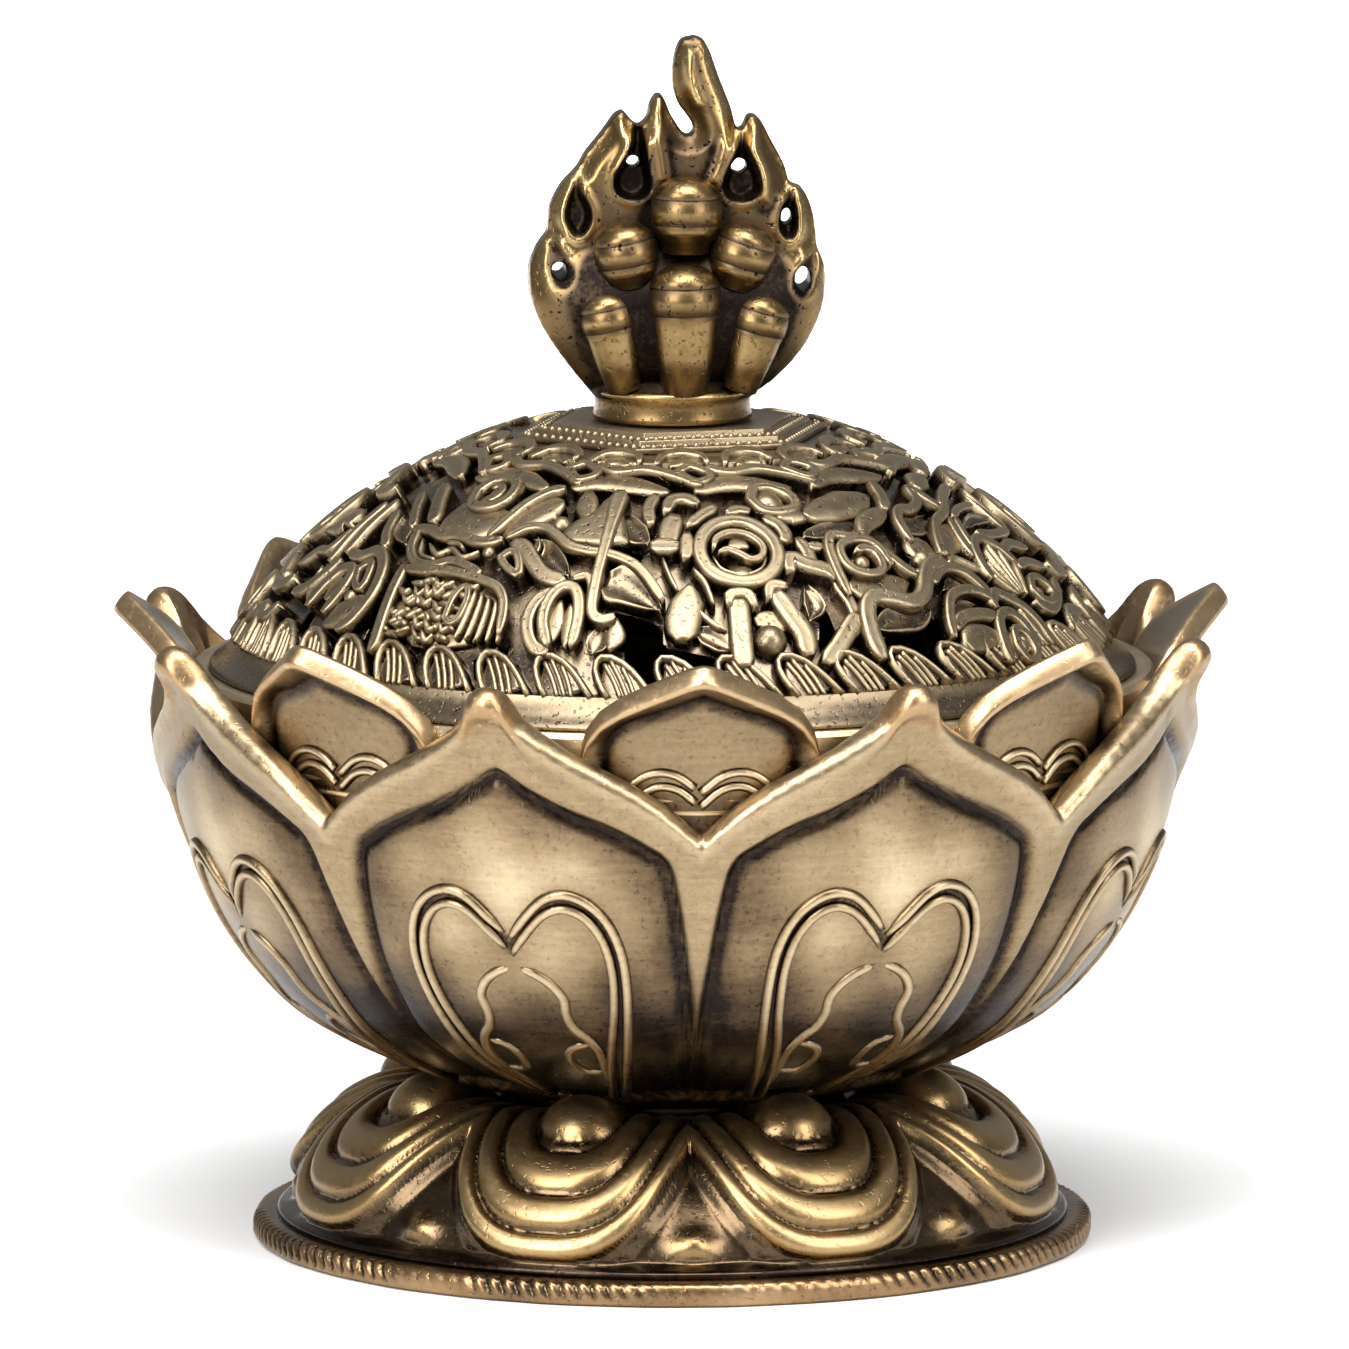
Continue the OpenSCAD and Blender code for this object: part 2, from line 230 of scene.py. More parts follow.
def mineral_fibre():
    """Felted white glass fibre: matt, with crossing strands and a few scorched spots."""
    made = Finish("mineral_fibre_finish", Roughness=0.95, Sheen_Weight=0.25)
    strands = made.noise(0.5, 6, 0.75, 1.6, made.stretched((1, 3.5, 1)))
    crossing = made.noise(0.5, 6, 0.75, 1.4, made.stretched((3.5, 1, 1)))
    felt = strands.largest(crossing)
    scorched = made.between(made.noise(6, 3, 0.5), 0.62, 0.8, 0.0, 0.5)
    cream = made.ramp(felt, (0.35, (0.60, 0.57, 0.50)), (0.65, (0.86, 0.84, 0.79)))
    made.set("Base Color", made.mix(scorched, cream, (0.42, 0.33, 0.22)))
    made.set("Normal", made.bump(felt, 0.25, 0.9))
    return made.material


def pale_floor():
    made = Finish("pale_floor_finish", Roughness=0.7)
    made.set("Base Color", made.ramp(made.noise(60, 3), (0.3, (0.76, 0.76, 0.76)), (0.7, (0.78, 0.78, 0.78))))
    return made.material


# ---------------------------------------------------------------- making meshes
def make_active(piece):
    """Selects this piece alone and makes it the active one."""
    bpy.ops.object.select_all(action="DESELECT")
    piece.select_set(True)
    bpy.context.view_layer.objects.active = piece


def apply_modifier(piece, kind, **settings):
    """Adds a modifier to the active piece, sets it up and applies it."""
    bpy.ops.object.modifier_add(type=kind)
    added = piece.modifiers[-1]
    for setting, value in settings.items():
        setattr(added, setting, value)
    bpy.ops.object.modifier_apply(modifier=added.name)


def tidy(piece, merge=0.004):
    """Merges doubles, closes what is left open and turns the faces outwards, shaded smooth."""
    make_active(piece)
    bpy.ops.object.mode_set(mode="EDIT")
    bpy.ops.mesh.select_all(action="SELECT")
    bpy.ops.mesh.remove_doubles(threshold=merge * MM)
    bpy.ops.mesh.fill_holes(sides=0)
    bpy.ops.mesh.normals_make_consistent(inside=False)
    bpy.ops.object.mode_set(mode="OBJECT")
    bpy.ops.object.shade_smooth()


def grid(name, columns, rows):
    """A flat grid to be rolled up and sculpted, with each vertex's place across and up, 0 to 1."""
    bpy.ops.object.select_all(action="DESELECT")
    bpy.ops.mesh.primitive_grid_add(x_subdivisions=columns, y_subdivisions=rows, size=2)
    piece = bpy.context.object
    piece.name = piece.data.name = name
    flat = read_points(piece)
    return piece, flat[:, 0] * MM / 2 + 0.5, flat[:, 1] * MM / 2 + 0.5


def read_points(piece):
    """The piece's vertices as an array, in millimetres."""
    points = np.empty(len(piece.data.vertices) * 3)
    piece.data.vertices.foreach_get("co", points)
    return points.reshape(-1, 3) / MM


def write_points(piece, points):
    piece.data.vertices.foreach_set("co", (np.asarray(points) * MM).ravel())
    piece.data.update()


def reach_of(points):
    """Each point's distance from the burner's axis."""
    return np.hypot(points[:, 0], points[:, 1])


def azimuth_of(points):
    """Each point's azimuth in degrees, measured as in ring_place."""
    return np.degrees(np.arctan2(points[:, 0], -points[:, 1]))


def mark(piece, name, values):
    """Stores a value from 0 to 1 at each vertex, for the finishes to read."""
    layer = piece.data.attributes.new(name, "FLOAT", "POINT")
    layer.data.foreach_set("value", np.clip(values, 0, 1).astype(np.float32))


def mark_wear_and_painted_light(piece, worn):
    """How far each vertex is rubbed bright, with painted shade and painted highlights folded in on some
    pieces.
    """
    mark(piece, "worn", worn)


def mark_handled(piece, handled):
    """How far each vertex has lost its lacquer to handling, which leaves it coppery."""
    mark(piece, "handled", handled)


def select_faces(piece, wanted):
    """Leaves edit mode on, with just the faces selected for which wanted(face) is true."""
    bpy.ops.object.mode_set(mode="EDIT")
    bpy.ops.mesh.select_mode(type="FACE")
    bpy.ops.mesh.select_all(action="DESELECT")
    bpy.ops.object.mode_set(mode="OBJECT")
    for face in piece.data.polygons:
        face.select = wanted(face)
    bpy.ops.object.mode_set(mode="EDIT")


def join(name, parts):
    bpy.ops.object.select_all(action="DESELECT")
    for part in parts:
        part.select_set(True)
    bpy.context.view_layer.objects.active = parts[0]
    bpy.ops.object.join()
    parts[0].name = parts[0].data.name = name
    return parts[0]


def ring_place(azimuth, radius, height):
    """Points from azimuths in degrees, 0 towards -Y and positive towards +X, with radii and heights."""
    turn = np.radians(azimuth)
    return np.stack(np.broadcast_arrays(radius * np.sin(turn), -radius * np.cos(turn), height), -1)


def curve_through(points, count):
    """count evenly spaced points of a smooth curve through the given ones."""
    given = np.asarray(points, float)
    padded = np.vstack([2 * given[0] - given[1], given, 2 * given[-1] - given[-2]])
    fine = []
    for a, b, c, d in zip(padded, padded[1:], padded[2:], padded[3:]):
        t = np.linspace(0, 1, 24, endpoint=False)[:, None]
        fine.append(0.5 * (2 * b + (c - a) * t + (2 * a - 5 * b + 4 * c - d) * t ** 2
                           + (3 * b - a - 3 * c + d) * t ** 3))
    fine = np.vstack(fine + [given[-1:]])
    along = np.concatenate([[0], np.cumsum(np.linalg.norm(np.diff(fine, axis=0), axis=1))])
    wanted = np.linspace(0, along[-1], count)
    return np.stack([np.interp(wanted, along, fine[:, k]) for k in range(fine.shape[1])], -1)


def smooth_step(x, low, high):
    t = np.clip((x - low) / (high - low), 0, 1)
    return t * t * (3 - 2 * t)


def distance_to(line, x, y):
    """Distance of each point (x, y) from a polyline."""
    best = np.full(len(x), 1e9)
    for (ax, ay), (bx, by) in zip(line, line[1:]):
        dx, dy = bx - ax, by - ay
        t = np.clip(((x - ax) * dx + (y - ay) * dy) / (dx * dx + dy * dy + 1e-12), 0, 1)
        best = np.minimum(best, np.hypot(x - ax - t * dx, y - ay - t * dy))
    return best


def inside_of(line, x, y):
    """Whether each point (x, y) is inside a closed polyline."""
    within = np.zeros(len(x), bool)
    closed = list(line) + [line[0]]
    for (ax, ay), (bx, by) in zip(closed, closed[1:]):
        crosses = (ay > y) != (by > y)
        within ^= crosses & (x < (bx - ax) * (y - ay) / (by - ay + 1e-12) + ax)
    return within


class Profile:
    """A half profile as (radius, height), measured by its length from the first point."""

    def __init__(self, points, count=400, outwards=1):
        self.line = curve_through(points, count)
        step = np.linalg.norm(np.diff(self.line, axis=0), axis=1)
        self.along = np.concatenate([[0], np.cumsum(step)])
        self.length = self.along[-1]
        slope = np.gradient(self.line, self.along, axis=0)
        slope /= np.linalg.norm(slope, axis=1)[:, None]
        self.normal = np.stack([slope[:, 1], -slope[:, 0]], -1) * outwards

    def at(self, length):
        return [np.interp(length, self.along, self.line[:, k]) for k in (0, 1)]

    def normal_at(self, length):
        return [np.interp(length, self.along, self.normal[:, k]) for k in (0, 1)]

    def length_at(self, height):
        rising = np.maximum.accumulate(self.line[:, 1])
        return np.interp(height, rising, self.along)

    def moved(self, length, out):
        """Radius and height at a length, moved outwards along the normal."""
        radius, height = self.at(length)
        n_radius, n_height = self.normal_at(length)
        return radius + n_radius * out, height + n_height * out


def mirrored(half):
    """A stroke's whole section from its left half, as (across, up) or (across, up, how rubbed)."""
    return half + [(-across, *rest) for across, *rest in reversed(half) if across]


class Ribbons:
    """Raised strokes gathered into one mesh, each swept along a line of points with their normals."""

    # A strap is brightest along its two upper corners; a round line gets brighter towards its top
    SECTION = mirrored([(-1.0, 0.0, 0.14), (-0.97, 0.6, 0.34), (-0.86, 0.92, 0.72), (-0.66, 1.02, 0.84),
                        (-0.34, 1.0, 0.7)])
    ROUND = mirrored([(-1.0, 0.0), (-0.87, 0.5), (-0.5, 0.87), (0.0, 1.0)])

    def __init__(self):
        self.points = []
        self.faces = []
        self.worn = []

    def add(self, path, normals, half_width, height, depth=0.4, section=None, closed=False, wear=1.0,
            foot_wear=0.12):
        """half_width and height are numbers or one value a point; depth is how far the foot is sunk in."""
        section = section or self.SECTION
        count = len(path)
        half_width = np.broadcast_to(half_width, count)
        height = np.broadcast_to(height, count)
        ahead = np.roll(path, -1, 0) - np.roll(path, 1, 0) if closed else np.gradient(path, axis=0)
        side = np.cross(ahead, normals)
        side /= np.linalg.norm(side, axis=1)[:, None] + 1e-12
        ring = [(section[0][0], None, None), *section, (section[-1][0], None, None)]
        start = sum(len(p) for p in self.points)
        rows = []
        for across, up, *rubbed in ring:
            lift = -depth if up is None else up * height
            rows.append(path + side * (across * half_width)[:, None]
                        + normals * np.broadcast_to(lift, count)[:, None])
            if up is None:
                self.worn.append(np.full(count, foot_wear))
            elif rubbed:
                self.worn.append(np.full(count, wear * rubbed[0]))
            else:
                self.worn.append(np.full(count, foot_wear + (wear - foot_wear) * up ** 3))
        self.points.append(np.stack(rows, 0).reshape(-1, 3))
        around = len(ring)
        for k in range(around):
            after = (k + 1) % around
            for i in range(count if closed else count - 1):
                j = (i + 1) % count
                self.faces.append([start + k * count + i, start + after * count + i,
                                   start + after * count + j, start + k * count + j])
        if not closed:
            self.faces.append([start + k * count for k in range(around - 1, -1, -1)])
            self.faces.append([start + k * count + count - 1 for k in range(around)])

    def build(self, name):
        mesh = bpy.data.meshes.new(name)
        mesh.from_pydata((np.vstack(self.points) * MM).tolist(), [], self.faces)
        piece = bpy.data.objects.new(name, mesh)
        bpy.context.scene.collection.objects.link(piece)
        mark_wear_and_painted_light(piece, np.concatenate(self.worn))
        tidy(piece, merge=0.0005)
        return piece


def finished(piece, body, slot, material, *stands_for):
    """Gives a piece its material and its body, and hides the CAD nodes that it stands for; slot is not used.
    """
    piece.data.materials.clear()
    piece.data.materials.append(material)
    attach(piece, body)
    if stands_for:
        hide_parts(*stands_for)
    return piece


# ---------------------------------------------------------------- lotus bowl
BOWL_SIDE = Profile([(8, BOWL_BASE), (14, BOWL_BASE), (16.6, 12.9), (19.3, 13.9), (22.4, 15.3), (26.6, 17.5),
                     (30.2, 20), (33.2, 23.4), (35.4, 26.7), (37.3, 30.7), (38.8, 34.7), (40, 39.3),
                     (40.9, 43.3), (42.1, 46.2), (44, TIP_HEIGHT)])
# The petal's edge: degrees from the petal's middle, and height
PETAL_EDGE = [(0, TIP_HEIGHT), (1, TIP_HEIGHT - 0.12), (1.8, TIP_HEIGHT - 0.5), (3, 46.7), (4.8, 45.6),
              (7.7, 44.3), (11.7, 42.9), (15.3, 41.6), (18.5, 40.1), (20.8, 38.7), (22.3, 37.75),
              (HALF_STEP, 37.7)]
# Half outlines on a petal, as degrees from its middle and height: the panel's groove, and the lines inside it
PANEL_SIDE = [(0, 42.6), (3.8, 40.9), (8, 39.5), (12.3, 38.3), (15.9, 36.9), (18.3, 35.6), (19.3, 33),
              (20, 30), (20.6, 27), (21.1, 24), (21.5, 21), (21.7, 18), (21.8, 14.7)]
OUTER_SCROLL = [(0, 29.7), (2.2, 31.5), (4.6, 33), (7.2, 33.4), (9.9, 32.6), (12, 30.9), (13.3, 28.3),
                (13.6, 25.2), (13.2, 21.8), (12.4, 18.8), (10.8, 16), (9.2, 14.4)]
INNER_SCROLL = [(0, 28.4), (2.1, 30.2), (4.5, 31.8), (7, 32.3), (9.4, 31.5), (11.2, 29.6), (12, 26.9),
                (11.7, 23.6), (10.6, 20.4), (9.4, 17.8), (7.8, 15.6), (6.4, 14.2)]
VINE = [(0.8, 27.3), (2.6, 26.9), (4.4, 26), (5.5, 24.8), (5.4, 23.4), (6, 22.2), (7.6, 21.2), (8.8, 19.8),
        (8.7, 17.6), (7.7, 15.4)]
VINE_CURL = [(7.6, 20.6), (5.6, 20.5), (4.2, 19.9), (3.9, 18.8), (5, 17.9), (7.4, 17.8), (8.6, 17.9)]
GROOVE_DEPTH = 0.42
BORDER_RISE = 0.5
# How far the rounded rim reaches past the last row of the petal's face
RIM_ROUND = 1.0


def petal_bulge(from_middle, height):
    """How far a petal's field stands out of the round bowl, most at its middle."""
    over = np.sin(np.pi * np.clip((height - 13) / 31, 0, 1))
    return 1.1 * over * np.cos(np.radians(from_middle / HALF_STEP * 90))


def on_bowl(azimuth, height, lift=0.0):
    """A point on the outside of the lotus bowl, lift millimetres proud of it."""
    from_middle = (azimuth % STEP) - HALF_STEP
    out = petal_bulge(from_middle, height) + lift
    radius, level = BOWL_SIDE.moved(BOWL_SIDE.length_at(height), out)
    return ring_place(azimuth, radius, level)


def unrolled(from_middle, height):
    """Flat coordinates on the bowl's skin, in millimetres across from a petal's middle and up the side."""
    along = BOWL_SIDE.length_at(height)
    return BOWL_SIDE.at(along)[0] * np.radians(from_middle), along


def both_sides(half, count):
    """A closed outline, symmetric about the middle, through the half outline's points."""
    side = curve_through(half, count)
    return np.vstack([side * [-1, 1], side[::-1]])[1:]


def scroll_gap():
    """The line halfway between the two scrolls, on the bowl's flat coordinates."""
    outer, inner = both_sides(OUTER_SCROLL, 50), both_sides(INNER_SCROLL, 50)
    middle = (outer + inner) / 2
    return np.stack(unrolled(middle[:, 0], middle[:, 1]), -1)


def petal_relief(from_middle, height, rim_gap):
    """Height of the raised border, groove and panel of a petal, and how rubbed they are, with a painted
    highlight on each panel and painted shade towards the bowl's bottom.
    """
    x, y = unrolled(from_middle, height)
    outline = both_sides(PANEL_SIDE, 60)
    flat = np.stack(unrolled(outline[:, 0], outline[:, 1]), -1)
    gap = distance_to(flat, x, y)
    within = inside_of(flat, x, y)
    groove = -GROOVE_DEPTH * np.exp(-(gap / 0.5) ** 2)
    shoulder = np.where(within, -0.12 * smooth_step(gap, 2.2, 0), BORDER_RISE * smooth_step(gap, 0.05, 1.0))
    fade = smooth_step(height, 12.6, 14.6)
    knocks = np.sin(from_middle * 0.9 + 0.6) * np.sin(from_middle * 2.3 + 1) + 0.3 * np.sin(from_middle * 4.1)
    lip = (0.4 + 0.03 * knocks) * np.exp(-(rim_gap / 1.1) ** 2)
    relief = (groove + shoulder) * fade + lip
    patches = 0.05 * np.sin(x * 0.9 + y * 0.35) + 0.04 * np.sin(x * 0.4 - y * 0.8 + 1.7)
    # centre is a painted highlight: each panel is lightened in its upper middle, where it catches the lights
    # above and in front.
    centre = np.exp(-((x / 8) ** 2) - ((height - 33.5) / 6) ** 2)
    worn = np.where(within, 0.4 + 0.36 * centre + patches, 0.53)
    worn -= np.where(within, 0.6 * np.exp(-(gap / 0.55) ** 2) + 0.22 * np.exp(-(gap / 3) ** 2),
                     0.66 * np.exp(-(gap / 0.42) ** 2))
    between = distance_to(scroll_gap(), x, y)
    worn -= 0.5 * np.exp(-(between / 0.38) ** 2) + 0.14 * np.exp(-(between / 1.7) ** 2)
    relief = relief - 0.16 * np.exp(-(between / 0.4) ** 2) * fade
    worn += 0.12 * np.exp(-(rim_gap / 0.8) ** 2)
    # Painted shade: the bowl is darkened towards its bottom, which faces down, away from the lights.
    worn -= 0.34 * smooth_step(height, 29, 19) + 0.45 * smooth_step(height, 22.5, 15.5)
    return relief, worn


def lotus_bowl():
    """The outer shell: eight petals with rounded borders, closed over the rim and down the inside."""
    outer, rim, inner = 104, 8, 9
    rows = outer + rim + inner
    inside_end = 4.3
    piece, across, up = grid("lotus_bowl_shell", PETALS * PETAL_COLUMNS, rows)
    azimuth = across * 360
    from_middle = (azimuth % STEP) - HALF_STEP
    row = np.rint(up * rows)
    edge_height = np.interp(np.abs(from_middle), *np.transpose(PETAL_EDGE))
    edge = BOWL_SIDE.length_at(edge_height) - RIM_ROUND
    rising = np.clip(row / outer, 0, 1) ** 0.92
    falling = np.clip((row - outer - rim) / inner, 0, 1)
    along = np.where(row <= outer + rim, rising * edge, edge + falling * (inside_end - edge))
    turn = np.clip((row - outer) / rim, 0, 1) * np.pi
    height = BOWL_SIDE.at(along)[1]
    rim_gap = np.where(row <= outer, edge - along, 0.0)
    relief, worn = petal_relief(from_middle, height, rim_gap)
    edge_relief = relief[row == outer]
    relief = np.where(row > outer, np.tile(edge_relief, rows + 1)[:len(row)], relief)
    bulge = petal_bulge(from_middle, height)
    thick = WALL + relief
    out = bulge + np.where(row <= outer, relief, relief - thick * (1 - np.cos(turn)) / 2)
    out = np.where(row > outer + rim, bulge - WALL, out)
    beyond = np.sin(turn) * thick * 0.42
    radius, level = BOWL_SIDE.moved(along, out)
    slope_radius, slope_height = BOWL_SIDE.normal_at(along)
    radius = radius - slope_height * beyond
    level = level + slope_radius * beyond
    radius = np.where(row == rows, radius[row == 0].min(), radius)
    level = np.where(row == rows, BOWL_BASE, level)
    write_points(piece, ring_place(azimuth, radius, level))
    worn = np.where(row > outer + rim, 0.35, worn)
    mark_wear_and_painted_light(piece, worn)
    tips = smooth_step(height, 43.5, 47.5) * smooth_step(rim_gap, 4, 0.5)
    mark_handled(piece, np.where(row <= outer + rim, np.maximum(tips, 0.35 * smooth_step(rim_gap, 1.2,
                                                                                         0.2)), 0))
    tidy(piece)
    return piece


def bowl_lines():
    """The doubled scroll and the fine vine on every petal, as raised lines."""
    made = Ribbons()
    for petal in range(PETALS):
        middle = (petal + 0.5) * STEP
        lines = [(both_sides(OUTER_SCROLL, 44), 0.42, 0.42, 0.8, 0.25), (both_sides(INNER_SCROLL, 40),
                                                                         0.4, 0.4, 0.76, 0.25)]
        for side in (-1, 1):
            lines.append((curve_through(VINE, 34) * [side, 1], 0.42, 0.28, 0.8, 0.35))
            lines.append((curve_through(VINE_CURL, 22) * [side, 1], 0.36, 0.24, 0.8, 0.35))
        for line, half_width, rise, wear, foot_wear in lines:
            foot_of = on_bowl(middle + line[:, 0], line[:, 1])
            lifted = on_bowl(middle + line[:, 0], line[:, 1], 1.0)
            taper = smooth_step(np.minimum(np.arange(len(line)), np.arange(len(line))[::-1]), -0.6, 3)
            # Painted shade: the lines are darkened towards the bowl's bottom along with the bowl.
            rubbed = wear - 0.55 * smooth_step(line[:, 1], 26, 15)
            made.add(foot_of, lifted - foot_of, half_width * (0.5 + 0.5 * taper), rise * taper, 0.25,
                     Ribbons.ROUND, wear=rubbed, foot_wear=foot_wear)
    return made.build("lotus_bowl_scrolls")


# ---------------------------------------------------------------- inner bowl
LINER_GAP = 0.2
INNER_PETAL_SIDE = Profile([(37.9, 34), (38.15, 39.5), (38.6, 43.2), (39.4, 45.6), (41.1, 48.2),
                            (43.9, INNER_TIP_HEIGHT)])
# The small petal's edge: millimetres from its middle, and height
INNER_PETAL_EDGE = [(0, INNER_TIP_HEIGHT), (0.8, 50.65), (2, 50.1), (4.3, 49), (6.3, 48), (7.8, 47),
                    (8.9, 45.5), (9.5, 43.6), (9.6, 36)]
INNER_PANEL = [(0, 48.6), (1.3, 48), (3.1, 47.3), (5.2, 46.6), (6.7, 45.6), (7.4, 43.9), (7.5, 41.5),
               (7.2, 36.5)]
INNER_SCROLLS = [[(0, 41), (1.7, 42.3), (3.4, 42.6), (5, 41.9), (6, 40.4)],
                 [(0, 39.9), (1.6, 41.2), (3.2, 41.5), (4.5, 40.8), (5.2, 39.4)]]
SMALL_PETAL_HALF = 9.55
SMALL_RIM_ROUND = 0.5


def liner():
    """The liner itself, with its floor, its wall and the ledge that takes the lid, as one turned form."""
    outside = [BOWL_SIDE.moved(BOWL_SIDE.length_at(h), -WALL - LINER_GAP) for h in (17, 20, 24, 29, 34, 39)]
    inside = [BOWL_SIDE.moved(BOWL_SIDE.length_at(h), -WALL - LINER_GAP - 1.8) for h in (39, 34, 29, 24.5)]
    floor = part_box("fireproof_mat")[0].z / MM
    ledge = LEDGE_HEIGHT
    line = [(BOLT_HOLE, floor - 2.6), (14.4, floor - 2.6), *outside, (38.1, 41), (38.1, ledge - 0.4),
            (37.7, ledge), (37.2, ledge + 0.02), (37, ledge - 0.12), (34.2, ledge - 0.12),
            (33.7, ledge - 0.4), (33.7, ledge - 1.6), (35.7, ledge - 2.4), *inside, (25.6, floor + 2.6),
            (22.4, floor + 0.9), (19.6, floor + 0.1), (18.2, floor), (BOLT_HOLE, floor),
            (BOLT_HOLE, floor - 2.6)]
    return turned("liner", line, 256, sharp=True)


def turned(name, line, steps, sharp=False):
    """A lathe form: a vertex is extruded along the half profile, and the profile is spun about the axis."""
    bpy.ops.object.select_all(action="DESELECT")
    bpy.ops.mesh.primitive_circle_add(vertices=3, radius=MM)
    piece = bpy.context.object
    piece.name = piece.data.name = name
    bpy.ops.object.mode_set(mode="EDIT")
    bpy.ops.mesh.select_all(action="SELECT")
    bpy.ops.mesh.merge(type="CENTER")
    here = Vector((0, 0, 0))
    for radius, height in line:
        there = Vector((radius * MM, 0, height * MM))
        bpy.ops.mesh.extrude_vertices_move(TRANSFORM_OT_translate={"value": there - here})
        here = there
    bpy.ops.object.mode_set(mode="OBJECT")
    for vertex in piece.data.vertices:
        vertex.select = vertex.index == 0
    bpy.ops.object.mode_set(mode="EDIT")
    bpy.ops.mesh.delete(type="VERT")
    bpy.ops.mesh.select_all(action="SELECT")
    bpy.ops.mesh.spin(steps=steps, angle=math.tau, center=(0, 0, 0), axis=(0, 0, 1))
    bpy.ops.mesh.select_all(action="SELECT")
    bpy.ops.mesh.remove_doubles(threshold=0.002 * MM)
    bpy.ops.mesh.normals_make_consistent(inside=False)
    bpy.ops.object.mode_set(mode="OBJECT")
    if sharp:
        bpy.ops.object.shade_smooth_by_angle(angle=SHARP_BEND)
    else:
        bpy.ops.object.shade_smooth()
    return piece


def inner_petal(name, middle):
    """One small petal: a panel in a rounded border, thick at the edge, leaning outwards."""
    outer, rim, inner = 34, 5, 14
    rows = outer + rim + inner
    piece, across, up = grid(name, 56, rows)
    x = (across * 2 - 1) * SMALL_PETAL_HALF
    row = np.rint(up * rows)
    edge_height = np.interp(np.abs(x), *np.transpose(INNER_PETAL_EDGE))
    edge = INNER_PETAL_SIDE.length_at(edge_height) - SMALL_RIM_ROUND
    start = 0.5
    rising = np.clip(row / outer, 0, 1)
    falling = np.clip((row - outer - rim) / inner, 0, 1)
    along = np.where(row <= outer + rim, start + rising * (edge - start), edge + falling * (start - edge))
    turn = np.clip((row - outer) / rim, 0, 1) * np.pi
    height = INNER_PETAL_SIDE.at(along)[1]
    outline = both_sides(INNER_PANEL, 30)
    gap = distance_to(outline, x, height)
    within = inside_of(outline, x, height)
    side_gap = SMALL_PETAL_HALF - np.abs(x)
    rim_gap = np.where(row <= outer, np.minimum(edge - along, side_gap), 0.0)
    relief = -0.34 * np.exp(-(gap / 0.5) ** 2) + np.where(within, 0, 0.35 * smooth_step(gap, 0.1, 1.3))
    relief += 0.25 * np.exp(-(rim_gap / 0.8) ** 2)
    thick = 1.25
    out = np.where(row <= outer, relief, relief - (thick + relief) * (1 - np.cos(turn)) / 2)
    out = np.where(row > outer + rim, -thick, out)
    out = np.where((row == 0) | (row == rows), 0, out)
    beyond = np.sin(turn) * 0.6
    radius, level = INNER_PETAL_SIDE.moved(along, out)
    n_radius, n_height = INNER_PETAL_SIDE.normal_at(along)
    azimuth = middle + np.degrees(np.arctan2(x, radius))
    reach = np.hypot(x, radius - n_height * beyond)
    write_points(piece, ring_place(azimuth, np.minimum(reach, np.hypot(x * 0.55, radius)),
                                   level + n_radius * beyond))
    worn = (np.where(within, 0.45, 0.54) - 0.6 * np.exp(-(gap / 0.5) ** 2)
            + 0.3 * np.exp(-(rim_gap / 0.6) ** 2))
    # Painted shade: each small petal is darkened towards its foot, where it sits down behind the large
    # petals.
    worn -= 0.35 * smooth_step(height, 43, 38)
    mark_wear_and_painted_light(piece, np.where(row > outer + rim, 0.4, worn))
    mark_handled(piece, np.where(row > outer + rim, 0, np.exp(-(rim_gap / 1.6) ** 2)) * smooth_step(height,
                                                                                                    40, 46))
    tidy(piece)
    return piece


def inner_petal_lines():
    """Two gull-wing lines at the foot of every small petal."""
    made = Ribbons()
    for petal in range(PETALS):
        for half in INNER_SCROLLS:
            line = both_sides(half, 14)
            along = INNER_PETAL_SIDE.length_at(line[:, 1])
            spots = []
            for lift in (0.0, 1.0):
                radius, level = INNER_PETAL_SIDE.moved(along, lift)
                azimuth = petal * STEP + np.degrees(np.arctan2(line[:, 0], radius))
                spots.append(ring_place(azimuth, radius, level))
            made.add(spots[0], spots[1] - spots[0],
                     0.38, 0.42, 0.25, Ribbons.ROUND, wear=0.95, foot_wear=0.15)
    return made.build("inner_petal_scrolls")


def inner_bowl():
    bowl = liner()
    points = read_points(bowl)
    ledge = (points[:, 2] > 44.5) & (reach_of(points) > 33)
    mark_wear_and_painted_light(bowl, np.where(ledge, 0.75, 0.3))
    petals = [inner_petal(f"small_petal_{k}", k * STEP) for k in range(PETALS)]
    return join("inner_bowl_casting", [bowl, *petals])


# ---------------------------------------------------------------- foot
FOOT_CREST = Profile([(10, 10.6), (13.2, 10.75), (15.2, 11.6), (17.6, 12.4), (20.4, 12.7), (23, 12.2),
                      (25.4, 11.05), (27.4, 9.6), (29.2, 7.75), (30.6, 5.8), (31.4, 4), (31.7, 2.6),
                      (31.6, RING_TOP)], outwards=-1)
HEART_RADIUS = 20.6
LOBE_EDGES = [0.0, 0.345, 0.62, 0.835, 1.0]
FOOT_PETAL_HALF = 9.5
FOOT_PETAL_DROP = 15.6
FOOT_FOLD = 1.9


def foot_level(from_middle, along):
    """Where a point is in a foot petal, from 0 at its heart to 1 at its edge, and how far down it."""
    radius = FOOT_CREST.at(along)[0]
    x = np.abs(radius * np.radians(from_middle))
    heart = np.interp(HEART_RADIUS, FOOT_CREST.line[:, 0], FOOT_CREST.along)
    down = along - heart
    narrowing = np.clip(1 + down * 0.062, 0.35, 1)
    square = 2.8
    below = (np.abs(x / FOOT_PETAL_HALF) ** square
             + np.abs(np.maximum(down, 0) / FOOT_PETAL_DROP) ** square) ** (1 / square)
    return np.where(down > 0, below, x / (FOOT_PETAL_HALF * narrowing)), down


